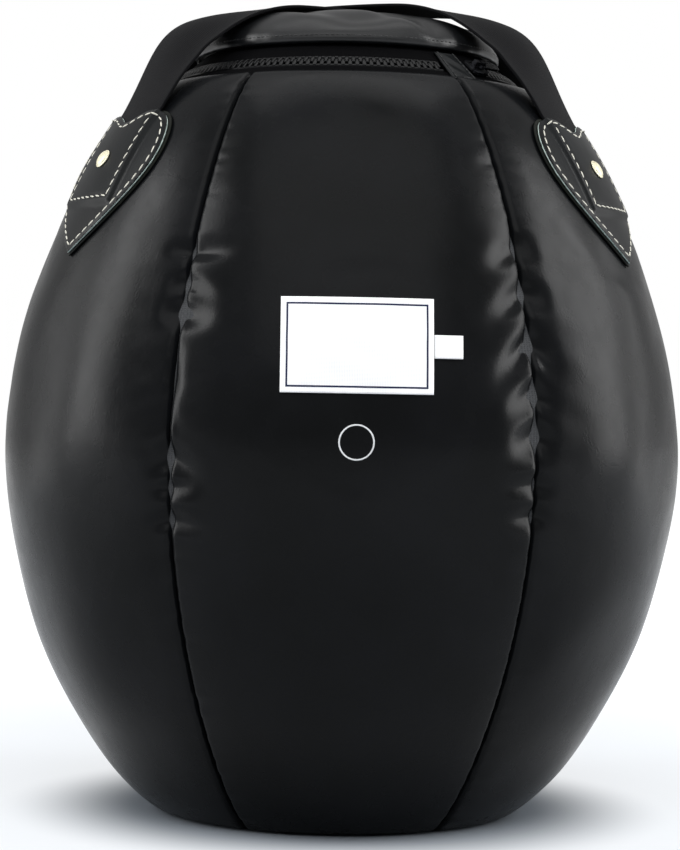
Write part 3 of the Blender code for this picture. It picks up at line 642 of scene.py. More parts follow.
def grid(name: str, columns: int, rows: int) -> tuple[Mesh, ndarray, ndarray]:
    """Makes a grid whose vertices are still to be placed.

    Args:
        name: the mesh's name.
        columns: the number of vertices across.
        rows: the number of vertices along.

    Returns:
        The mesh, and the column and row of each vertex.
    """
    bm = bmesh.new()
    bmesh.ops.create_grid(bm, x_segments=columns - 1, y_segments=rows - 1, size=1)
    mesh = mesh_from(bm, name)
    points = vertex_array(mesh)
    column = np.rint((points[:, 0] + 1) / 2 * (columns - 1)).astype(int)
    row = np.rint((points[:, 1] + 1) / 2 * (rows - 1)).astype(int)
    return mesh, column, row


def spun(name: str, profile: Sequence[tuple[float, float]], steps: int, closed: bool = False) -> Mesh:
    """Spins a profile into a turned piece about Z.

    Args:
        name: the mesh's name.
        profile: radii and heights along the profile.
        steps: the number of steps of the whole turn.
        closed: whether the profile closes on itself.

    Returns:
        The mesh, its faces pointing outwards.
    """
    bm = bmesh.new()
    verts = [bm.verts.new((0.0, -radius, height)) for radius, height in profile]
    edges = [bm.edges.new(pair) for pair in zip(verts, verts[1:])]
    if closed:
        edges.append(bm.edges.new((verts[-1], verts[0])))
    bmesh.ops.spin(
        bm, geom=verts + edges, cent=(0, 0, 0), axis=(0, 0, 1), angle=2 * math.pi, steps=steps, use_merge=True
    )
    bmesh.ops.remove_doubles(bm, verts=bm.verts, dist=0.000002)
    bmesh.ops.recalc_face_normals(bm, faces=bm.faces)
    return mesh_from(bm, name)


def azimuth_of(points: ndarray) -> ndarray:
    """Returns the azimuth of each point, from -pi to pi."""
    return np.arctan2(points[:, 0], -points[:, 1])


def add_piece(
    name: str,
    mesh: Mesh,
    finishes: Sequence[Finish],
    nodes: Sequence[str] = (),
) -> Object:
    """Puts a mesh into the scene as a piece of the bag.

    Args:
        name: the piece's name.
        mesh: its mesh, already in place.
        finishes: its materials, in order.
        nodes: the CAD nodes that it stands for.

    Returns:
        The piece.
    """
    piece = bpy.data.objects.new(name, mesh)
    bpy.context.scene.collection.objects.link(piece)
    mesh.materials.clear()
    for finish in finishes:
        mesh.materials.append(finish.make())
    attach(piece, BODY)
    if nodes:
        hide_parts(*nodes)
    return piece


def add_wall(piece: Object, thickness: float, outside: bool, rim: bool = False) -> None:
    """Gives a sheet its thickness.

    Args:
        piece: the piece.
        thickness: the wall, in metres.
        outside: whether the wall grows outwards.
        rim: whether the rim takes the piece's second material.
    """
    wall = piece.modifiers.new("wall", "SOLIDIFY")
    wall.thickness = thickness
    wall.offset = 1.0 if outside else -1.0
    wall.use_even_offset = True
    wall.use_quality_normals = True
    if rim:
        wall.material_offset_rim = 1


def add_round_edges(piece: Object, width: float, segments: int = 2, angle: float = 40.0) -> None:
    """Rounds a piece's sharp edges.

    Args:
        piece: the piece.
        width: the width of the rounding, in metres.
        segments: its segments.
        angle: the least angle between faces that is rounded, in degrees.
    """
    bevel = piece.modifiers.new("round_edges", "BEVEL")
    bevel.width = width
    bevel.segments = segments
    bevel.limit_method = "ANGLE"
    bevel.angle_limit = math.radians(angle)
    bevel.harden_normals = False


def resample(path: ndarray, pitch: float) -> tuple[ndarray, ndarray]:
    """Spaces points evenly along a path.

    Args:
        path: the path's points, n by 2 or 3.
        pitch: the wanted spacing, which is stretched to fit a whole number.

    Returns:
        The points, in the middle of each step, and the unit direction there.
    """
    steps = np.linalg.norm(np.diff(path, axis=0), axis=1)
    travelled = np.concatenate(([0.0], np.cumsum(steps)))
    count = max(1, round(travelled[-1] / pitch))
    wanted = (np.arange(count) + 0.5) * travelled[-1] / count
    points = np.stack([np.interp(wanted, travelled, path[:, k]) for k in range(path.shape[1])], axis=1)
    nudge = travelled[-1] / count * 0.3
    ahead, behind = (
        np.stack([np.interp(wanted + side * nudge, travelled, path[:, k]) for k in range(path.shape[1])], axis=1)
        for side in (1, -1)
    )
    direction = ahead - behind
    return points, direction / np.linalg.norm(direction, axis=1, keepdims=True)


@dataclass(frozen=True)
class StitchRow:
    """A row of stitches: each a small spindle of thread half sunk in the leather."""

    pitch: float
    length: float
    width: float
    slant: float = 0.0
    sides: int = 6
    rings: int = 4

    def sew(
        self, bm: BMesh, places: ndarray, directions: ndarray, normals: ndarray
    ) -> None:
        """Adds the stitches to a bmesh.

        Args:
            bm: the bmesh.
            places: the stitches' middles.
            directions: the way that each runs.
            normals: the leather's outward direction at each.
        """
        for place, direction, normal in zip(places, directions, normals):
            out = Vector(normal).normalized()
            run = Vector(direction)
            run = Matrix.Rotation(self.slant, 3, out) @ (run - out * run.dot(out)).normalized()
            frame = Matrix((run, out.cross(run), out)).transposed().to_4x4()
            frame.translation = Vector(place)
            size = Matrix.Diagonal((self.width / 2, self.width / 2, self.length / 2, 1.0))
            bmesh.ops.create_uvsphere(
                bm, u_segments=self.sides, v_segments=self.rings, radius=1.0,
                matrix=frame @ Matrix.Rotation(math.pi / 2, 4, "Y") @ size,
            )


# ---------------------------------------- the outline


@dataclass(frozen=True)
class BagOutline:
    """The bag's outline: a bowl under the belly and a shoulder over it, as superellipse quarters."""

    belly_radius: float = 0.2132
    belly_height: float = 0.229
    base_radius: float = 0.111
    mouth_radius: float = 0.1195
    mouth_height: float = 0.450
    bowl_powers: tuple[float, float] = (1.95, 1.3)
    shoulder_powers: tuple[float, float] = (1.7, 1.35)
    gores: int = 6
    seam_draw: float = 0.004
    seam_fade_power: int = 6

    @property
    def half_angle(self) -> float:
        """Half the angle that a gore takes, in radians."""
        return math.pi / self.gores

    def radius(self, height: ndarray) -> ndarray:
        """Finds the radius on the middle line of a gore.

        Args:
            height: the heights.

        Returns:
            The radius at each.
        """
        height = np.asarray(height, dtype=float)
        low = height < self.belly_height
        away = np.where(
            low,
            (self.belly_height - height) / self.belly_height,
            (height - self.belly_height) / (self.mouth_height - self.belly_height),
        )
        away = np.clip(away, 0.0, 1.0)
        bowl = (1 - away ** self.bowl_powers[0]) ** (1 / self.bowl_powers[1])
        shoulder = (1 - away ** self.shoulder_powers[0]) ** (1 / self.shoulder_powers[1])
        inner = np.where(low, self.base_radius, self.mouth_radius)
        return inner + (self.belly_radius - inner) * np.where(low, bowl, shoulder)

    def normal(self, height: ndarray) -> tuple[ndarray, ndarray]:
        """Finds the outward direction.

        Args:
            height: the heights.

        Returns:
            Its parts along the radius and upwards.
        """
        step = 0.0005
        slope = (self.radius(height + step) - self.radius(height - step)) / (2 * step)
        size = np.sqrt(1 + slope ** 2)
        return 1 / size, -slope / size

    @cached_property
    def track(self) -> tuple[ndarray, ndarray]:
        """Heights along the outline, with the length along it from the base to each."""
        low = self.belly_height * (1 - np.sin(np.linspace(1, 0, 900) * math.pi / 2) ** (2 / self.bowl_powers[0]))
        rise = self.mouth_height - self.belly_height
        high = self.belly_height + rise * np.sin(np.linspace(0, 1, 900) * math.pi / 2) ** (2 / self.shoulder_powers[0])
        heights = np.concatenate((low, high[1:]))
        steps = np.hypot(np.diff(self.radius(heights)), np.diff(heights))
        return heights, np.concatenate(([0.0], np.cumsum(steps)))

    def length_to(self, height: ndarray) -> ndarray:
        """Returns the length along the outline from the base to each height."""
        return np.interp(height, *self.track)

    def even_heights(self, count: int, lift: float = 0.0006) -> ndarray:
        """Returns a number of heights that are evenly spaced along the outline, from a slight lift upwards."""
        heights, lengths = self.track
        return np.maximum(np.interp(np.linspace(0, lengths[-1], count), lengths, heights), lift)

    def point(self, azimuth: ndarray, height: ndarray, above: ndarray | float = 0.0) -> ndarray:
        """Places points above the gore whose middle line is at azimuth 0.

        Args:
            azimuth: the angle from the middle line.
            height: the height on the outline.
            above: the distance outwards from the leather.

        Returns:
            The points.
        """
        across, up = self.normal(height)
        along = 2 * height / self.mouth_height - 1
        fade = np.clip(1 - np.abs(along) ** self.seam_fade_power, 0.0, 1.0)
        radius = self.radius(height) - self.seam_draw * fade * (azimuth / self.half_angle) ** 2 + above * across
        return np.stack((radius * np.sin(azimuth), -radius * np.cos(azimuth), height + above * up), axis=-1)


@dataclass(frozen=True)
class ZipperBand:
    """The cone between the gores' upper edge and the top cover's edge, on which the zipper lies."""

    outline: BagOutline
    rise: float = 0.019
    draw_in: float = 0.0225

    @property
    def width(self) -> float:
        """The band's width up the cone."""
        return math.hypot(self.rise, self.draw_in)

    @property
    def slope(self) -> float:
        """The cone's angle above the level."""
        return math.atan2(self.rise, self.draw_in)

    @property
    def chain_radius(self) -> float:
        """The radius of the middle of the chain."""
        return self.outline.mouth_radius - self.draw_in / 2

    def section(self, along: float, above: float) -> tuple[float, float]:
        """Returns radius and height at a distance up the cone from the gores' edge, and outwards from the leather."""
        radius = self.outline.mouth_radius - along * math.cos(self.slope) + above * math.sin(self.slope)
        return radius, self.outline.mouth_height + along * math.sin(self.slope) + above * math.cos(self.slope)

    def frame(self, azimuth: float, along: float, above: float) -> Matrix:
        """Makes a frame on the cone: X runs round the bag, Y up the cone and Z outwards.

        Args:
            azimuth: its angle round the bag.
            along: the distance up the cone.
            above: the distance outwards.

        Returns:
            Its matrix.
        """
        up = Vector((0, math.cos(self.slope), math.sin(self.slope)))
        out = Vector((0, -math.sin(self.slope), math.cos(self.slope)))
        frame = Matrix((Vector((1, 0, 0)), up, out)).transposed().to_4x4()
        radius, height = self.section(along, above)
        frame.translation = Vector((0, -radius, height))
        return Matrix.Rotation(azimuth, 4, "Z") @ frame


OUTLINE = BagOutline()
BAND = ZipperBand(OUTLINE)


# ---------------------------------------- the gores


@dataclass(frozen=True)
class Fold:
    """A soft crease that starts at a seam and dies out towards the middle of the gore.

    It is a valley with a lower ridge above it. All lengths are in metres.
    """

    side: int
    height: float
    length: float
    width: float
    depth: float
    tilt: float

    def sink(self, from_seam: ndarray, side: ndarray, along: ndarray) -> ndarray:
        """Works out how far the crease lifts each point.

        Args:
            from_seam: the distance from the nearer seam.
            side: which seam that is, -1 or 1.
            along: the length along the outline.

        Returns:
            The distances, negative in the valley.
        """
        start = float(OUTLINE.length_to(self.height))
        off = (along - start - self.tilt * from_seam) / math.sqrt(1 + self.tilt ** 2)
        reach = smooth(from_seam / (0.2 * self.length) + 0.05) * (1 - smooth(from_seam / self.length))
        valley = np.exp(-((off / self.width) ** 2))
        ridge = np.exp(-(((off - 1.7 * self.width) / (1.1 * self.width)) ** 2))
        return np.where(side == self.side, reach * self.depth * (0.5 * ridge - 0.75 * valley), 0.0)


# Side, then height, length, width and depth in millimetres, and tilt, of the front gore's creases
FRONT_FOLDS = (
    (-1, 340, 44, 6.5, 1.1, -0.12), (-1, 322, 38, 5.5, 1.2, -0.32), (-1, 302, 36, 7.0, 1.5, -0.18),
    (-1, 262, 22, 6.0, 0.8, 0.20), (-1, 240, 40, 7.0, 1.5, -0.55), (-1, 209, 28, 4.5, 1.4, -0.12),
    (-1, 193, 36, 5.0, 1.6, -0.28), (-1, 172, 28, 4.5, 0.7, -0.05), (-1, 372, 20, 5.0, 0.5, 0.10),
    (1, 345, 46, 8.0, 1.1, -0.55), (1, 318, 44, 8.0, 1.4, -0.50), (1, 290, 46, 8.0, 1.7, -0.42),
    (1, 266, 40, 7.0, 1.3, -0.30), (1, 243, 34, 6.0, 1.2, -0.20), (1, 226, 30, 5.5, 1.1, -0.10),
    (1, 212, 28, 4.5, 1.2, 0.00), (1, 196, 38, 5.0, 1.5, -0.16), (1, 169, 30, 5.0, 0.9, -0.10),
    (1, 396, 24, 5.0, 0.6, -0.35),
)


@dataclass(frozen=True)
class Draw:
    """A place where the seam draws the leather in, so that it dips towards the seam. Lengths in metres."""

    height: float
    half_height: float
    depth: float
    tilt: float
    share: float = 1.0

    def sink(self, from_seam: ndarray, along: ndarray, reach: float) -> ndarray:
        """Returns how far each point sinks, where a dip with a share of 1 ends at the reach from the seam."""
        off = (along - float(OUTLINE.length_to(self.height)) - self.tilt * from_seam) / self.half_height
        return -self.depth * np.exp(-(off ** 2)) * (1 - smooth(from_seam / (reach * self.share)))


# Height, half height and depth in millimetres, tilt and share of the reach, of the dips on the front seams
LEFT_DRAWS = (
    (340, 5.0, 3.0, -0.02, 1.30), (322, 5.5, 3.4, -0.38, 1.0), (305, 8.5, 5.0, -0.08, 1.1),
    (268, 15.0, 2.0, 0.0, 0.35), (223, 8.0, 4.6, -0.50, 1.1), (205, 4.6, 3.2, -0.05, 0.8),
    (187, 5.0, 3.6, -0.15, 1.05),
)
RIGHT_DRAWS = (
    (346, 8.0, 3.2, -0.45, 1.1), (320, 9.0, 4.6, -0.50, 1.3), (292, 10.0, 5.2, -0.85, 1.4),
    (262, 8.0, 4.6, -0.45, 1.05), (238, 9.0, 5.0, -0.35, 1.0), (210, 5.0, 2.6, -0.10, 1.0), (192, 5.0, 3.2, -0.05, 0.8),
)


@dataclass
class Gore:
    """One leather gore: crowned over the filling, turned in at its edges and creased along its seams."""

    name: str
    azimuth: float
    seed: int
    folds: tuple[Fold, ...] = ()
    # The dips along its left and its right seam, and how far they reach into this gore
    draws: tuple[tuple[Draw, ...], tuple[Draw, ...]] = ((), ())
    draw_reach: float = 0.0
    # Centre across, height, half width and half length of the places that lie flat under sewn-on pieces
    sewn_on: tuple[tuple[float, float, float, float], ...] = ()
    wall: float = 0.0016
    seam_gap: float = 0.0006
    rows: int = 216
    middle_columns: int = 56
    edge_steps: tuple[float, ...] = (
        0.0, 0.0004, 0.0008, 0.0012, 0.0017, 0.0023, 0.0030, 0.0039, 0.0051, 0.0067, 0.0088,
    )
    groove_depth: float = 0.0030
    groove_width: float = 0.0012
    # The fall towards each seam, which grows from the foot and from the mouth
    pillow_depth: float = 0.0009
    pillow_width: float = 0.010
    pillow_ends: tuple[float, float] = (0.10, 0.12)
    hem_depth: float = 0.0022
    foot_depth: float = 0.0010
    hem_width: float = 0.0016
    # Small puckers beside the stitches
    pucker_waves_mm: tuple[float, ...] = (7.5, 10.5, 14.0, 19.0)
    pucker_swell: float = 5.3
    pucker_height: float = 0.00024
    pucker_start: float = 0.002
    pucker_reach: float = 0.0055
    # Broad lumps of the filling, with the margins at the seams and at the ends that they leave free
    lumps: int = 5
    lump_wave: tuple[float, float] = (0.06, 0.13)
    lump_height: float = 0.00028
    lump_margins: tuple[float, float] = (0.03, 0.05)
    # How softly the flat places end, and what is left of the relief there
    flat_edge: float = 0.22
    flat_share: float = 0.35

    def columns_at(self, half_width: ndarray) -> ndarray:
        """Places the columns across the gore, closer together near the seams.

        Args:
            half_width: half the gore's width at each row.

        Returns:
            A row for each.
        """
        edge = np.array(self.edge_steps)
        left = -half_width[:, None] + edge[None, :]
        middle = np.linspace(-1, 1, self.middle_columns + 2)[1:-1]
        between = (half_width[:, None] - edge[-1]) * middle[None, :]
        return np.concatenate((left, between, -left[:, ::-1]), axis=1)

    def relief(self, across: ndarray, height: ndarray, half_width: ndarray) -> ndarray:
        """Works out the relief.

        Args:
            across: the place across the gore.
            height: the height on the outline.
            half_width: half the gore's width at that height.

        Returns:
            The distance outwards of each point from the plain outline.
        """
        from_seam, side = half_width - np.abs(across), np.sign(across)
        along = OUTLINE.length_to(height)
        total = OUTLINE.track[1][-1]
        rng = np.random.default_rng(self.seed)
        sink = -self.groove_depth * np.exp(-((from_seam / self.groove_width) ** 1.4))
        for edge, depth in ((along, self.foot_depth), (total - along, self.hem_depth)):
            sink = np.minimum(sink, -depth * np.exp(-((edge / self.hem_width) ** 2)))
        middle = smooth(along / self.pillow_ends[0]) * smooth((total - along) / self.pillow_ends[1])
        sink = sink - self.pillow_depth * middle * np.exp(-from_seam / self.pillow_width)
        for which, draws in zip((-1, 1), self.draws):
            for draw in draws:
                sink = sink + np.where(side == which, draw.sink(from_seam, along, self.draw_reach), 0.0)
        for fold in self.folds:
            sink = sink + fold.sink(from_seam, side, along)
        for which in (-1, 1):
            pucker = np.zeros_like(along)
            for wave_mm in self.pucker_waves_mm:
                shift = rng.uniform(0, 2 * math.pi)
                swell = 0.5 + 0.5 * np.sin(along / (wave_mm * self.pucker_swell * MM) + rng.uniform(0, 2 * math.pi))
                pucker += swell * np.sin(2 * math.pi * along / (wave_mm * MM) + shift)
            near = np.exp(-from_seam / self.pucker_reach) * smooth(from_seam / self.pucker_start)
            sink = sink + np.where(side == which, self.pucker_height * pucker * near, 0.0)
        inside = smooth(from_seam / self.lump_margins[0])
        inside = inside * smooth(np.minimum(along, total - along) / self.lump_margins[1])
        for _ in range(self.lumps):
            wave = rng.uniform(*self.lump_wave)
            turn = rng.uniform(0, math.pi)
            phase = (across * math.cos(turn) + along * math.sin(turn)) * 2 * math.pi / wave
            sink = sink + self.lump_height * inside * np.sin(phase + rng.uniform(0, 2 * math.pi))
        for centre, height_of, half_width_of, half_length_of in self.sewn_on:
            off = np.hypot((across - centre) / half_width_of, (height - height_of) / half_length_of)
            under = 1 - smooth((off - 1.0) / self.flat_edge)
            sink = sink * (1 - under) + np.minimum(sink, -0.0001) * under * self.flat_share
        return sink

    def build(self) -> Object:
        """Builds the gore.

        Returns:
            The piece.
        """
        heights = OUTLINE.even_heights(self.rows)
        radii = OUTLINE.radius(heights)
        half_widths = OUTLINE.half_angle * radii - self.seam_gap / 2
        places = self.columns_at(half_widths)
        mesh, column, row = grid(self.name, places.shape[1], self.rows)
        across, height = places[row, column], heights[row]
        relief = self.relief(across, height, half_widths[row])
        points = OUTLINE.point(across / radii[row], height, relief)
        set_vertices(mesh, turned(points, self.azimuth))
        map_surface(mesh, across / MM, OUTLINE.length_to(height) / MM)
        piece = add_piece(f"{self.name}_panel", mesh, (COVER_LEATHER,), (self.name,))
        add_wall(piece, self.wall, outside=False)
        return piece


@dataclass
class Cover:
    """The six gores: every other one is creased, and its neighbours are drawn tight."""

    names: tuple[str, ...] = (
        "gore_front", "gore_front_right", "gore_back_right", "gore_back", "gore_back_left", "gore_front_left",
    )
    draw_reach_creased: float = 0.028
    draw_reach_tight: float = 0.014
    # The share of the listed depth that the front creases have beside the dips
    front_depth: float = 0.65
    # The share of the depth of the side gores' creases along the front gore, where they lie smooth
    beside_front: float = 0.4
    # Centre across, height, half width and half length of the place that lies flat under a patch or the label
    under_patch: tuple[float, float, float, float] = (0.0, 0.384, 0.062, 0.052)
    under_label: tuple[float, float, float, float] = (0.004, 0.268, 0.066, 0.058)

    @staticmethod
    def carries_patch(index: int) -> bool:
        """Returns whether a gore carries a patch: all do but the front one and the back one."""
        return index not in (0, 3)

    def folds_for(self, index: int) -> tuple[Fold, ...]:
        """Gives a gore its creases: the front gore's are seen, and the others are spread in the same way.

        Args:
            index: the gore's number, from the front one towards +X.

        Returns:
            The creases.
        """
        if index == 0:
            rows = [(*row[:4], self.front_depth * row[4], row[5]) for row in FRONT_FOLDS]
        else:
            rows = self.spread_folds(index)
        return tuple(
            Fold(side, height * MM, length * MM, width * MM, depth * MM, tilt)
            for side, height, length, width, depth, tilt in rows
        )

    def spread_folds(self, index: int) -> list[tuple[float, ...]]:
        """Spreads creases over a gore that isn't seen, deepest where the belly is widest.

        Args:
            index: the gore's number, from the front one towards +X.

        Returns:
            Rows like those of FRONT_FOLDS.
        """
        rng = np.random.default_rng(70 + index)
        highest = 330 if self.carries_patch(index) else 400
        deepest_at, fades_over = 250, 230
        rows = []
        for side in (-1, 1):
            share = self.beside_front if (index, side) in ((1, -1), (5, 1)) else 1.0
            height = rng.uniform(95, 115)
            while height < highest:
                high = 1 - abs(height - deepest_at) / fades_over
                rows.append((
                    side, height, rng.uniform(20, 30) + 18 * high, rng.uniform(4, 7.5),
                    share * (rng.uniform(0.3, 0.6) + 0.9 * high * rng.uniform(0.4, 1)), rng.uniform(-0.45, 0.15),
                ))
                height += rng.uniform(15, 29)
        return rows

    @staticmethod
    def draws_for(seam: int) -> tuple[Draw, ...]:
        """Gives a seam its dips: seen on the front gore's seams, and spread likewise on the others.

        Args:
            seam: the number of the gore on its left.

        Returns:
            The dips.
        """
        if seam == 0:
            rows = RIGHT_DRAWS
        elif seam == 5:
            rows = LEFT_DRAWS
        else:
            lowest, highest = 160.0, 345
            rng, rows, height = np.random.default_rng(40 + seam), [], lowest
            while height < highest:
                half = rng.uniform(4.5, 9.5)
                depth, tilt, share = rng.uniform(0.40, 0.52) * half, rng.uniform(-0.5, 0.05), rng.uniform(0.7, 1.2)
                rows.append((height, half, depth, tilt, share))
                height += half * rng.uniform(2.6, 4.2)
        return tuple(
            Draw(height * MM, half * MM, depth * MM, tilt, share) for height, half, depth, tilt, share in rows
        )

    def build(self) -> list[Object]:
        """Builds the gores.

        Returns:
            The pieces.
        """
        pieces = []
        for index, name in enumerate(self.names):
            gore = Gore(
                name, 2 * OUTLINE.half_angle * index, seed=11 + index, folds=self.folds_for(index),
                draws=(self.draws_for((index - 1) % OUTLINE.gores), self.draws_for(index)),
                draw_reach=self.draw_reach_creased if index % 2 == 0 else self.draw_reach_tight,
                sewn_on=(self.under_patch if self.carries_patch(index) else self.under_label,),
            )
            pieces.append(gore.build())
        return pieces


# ---------------------------------------- base, lining and filling


@dataclass
class Inside:
    """The base panel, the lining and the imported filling."""

    seam_gap: float = 0.002
    thickness: float = 0.0025
    edge: float = 0.0008
    lining_depth: float = 0.008
    lining_wall: float = 0.0008
    lining_turn_mm: float = 2 * math.pi * 120
    ripple: float = 0.0009
    filling_depth: float = 0.0111
    filling_floor: float = 0.0036
    # The heap under the lid: the radius and height of its rim, and the height of its top
    heap_rim: tuple[float, float] = (0.1012, 0.4511)
    heap_top: float = 0.481
    lump: float = 0.006
    steps: int = 96

    def base(self) -> Object:
        """Builds the base panel.

        Returns:
            The piece.
        """
        radius = OUTLINE.base_radius - self.seam_gap
        profile = [(0, self.thickness), (radius - 0.001, self.thickness), (radius, self.thickness - 0.0007)]
        profile += [(radius, self.edge), (radius - 0.0003, 0.0003), (radius - self.edge, 0)]
        profile += [(radius * share, 0.0) for share in (0.94, 0.9, 0.7, 0.4)] + [(0, 0)]
        mesh = spun("base_panel_disc", profile, 120)
        return add_piece("base_panel_disc", mesh, (COVER_LEATHER,), ("base_panel",))

    def inner_side(self, depth: float, rows: int = 24) -> list[tuple[float, float]]:
        """Moves the cover's outline in, from under the mouth down to the base's middle.

        Args:
            depth: how far it is moved in.
            rows: the points up the side.

        Returns:
            Its radii and heights.
        """
        heights = OUTLINE.even_heights(rows + 3)[-3:0:-1]
        across, up = OUTLINE.normal(heights)
        side = list(zip(OUTLINE.radius(heights) - depth * across, heights - depth * up))
        floor = self.thickness + depth - self.lining_depth + 0.001
        side = [(radius, max(height, floor + 0.0005)) for radius, height in side]
        return side + [(OUTLINE.base_radius - depth, floor), (0.0, floor)]

    def lining(self) -> Object:
        """Builds the lining, with the soft folds of loose cloth.

        Returns:
            The piece.
        """
        mesh = spun("lining_cloth_bag", self.inner_side(self.lining_depth), self.steps)
        points = vertex_array(mesh)
        angle, radius = azimuth_of(points), np.hypot(points[:, 0], points[:, 1])
        folds = 1 + np.sin(11 * angle) * np.sin(points[:, 2] / 0.018)
        points[:, :2] *= (1 - self.ripple / np.maximum(radius, 0.02) * folds)[:, None]
        set_vertices(mesh, points)
        map_surface(
            mesh, angle / (2 * math.pi) * self.lining_turn_mm, points[:, 2] / MM, turns_mm=(self.lining_turn_mm, 0.0)
        )
        piece = add_piece("lining_cloth_bag", mesh, (LINING_CLOTH,), ("lining",))
        add_wall(piece, self.lining_wall / 2, outside=False)
        side = np.array(self.inner_side(self.lining_depth))
        return piece

    def filling(self) -> Object:
        """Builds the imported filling, lumpy all over.

        Returns:
            The piece.
        """
        rim_radius, rim_height = self.heap_rim
        rise = self.heap_top - rim_height
        heap = [(share * rim_radius, rim_height + rise * (1 - share ** 2)) for share in np.linspace(0, 1, 12)]
        mesh = spun("packed_cuttings", heap + self.inner_side(self.filling_depth), self.steps)
        points = vertex_array(mesh)
        angle = azimuth_of(points)
        lumps = np.sin(9 * angle + points[:, 2] / 0.021) * np.sin(points[:, 2] / 0.013 + 4 * angle)
        points *= (1 - self.lump * (1 + lumps))[:, None]
        points[:, 2] = np.maximum(points[:, 2], self.filling_floor)
        set_vertices(mesh, points)
        piece = add_piece("packed_cuttings", mesh, (RAGS,), ("filling",))
        return piece

    def build(self) -> list[Object]:
        """Builds the three pieces and returns them."""
        return [self.base(), self.lining(), self.filling()]


# ---------------------------------------- the top cover


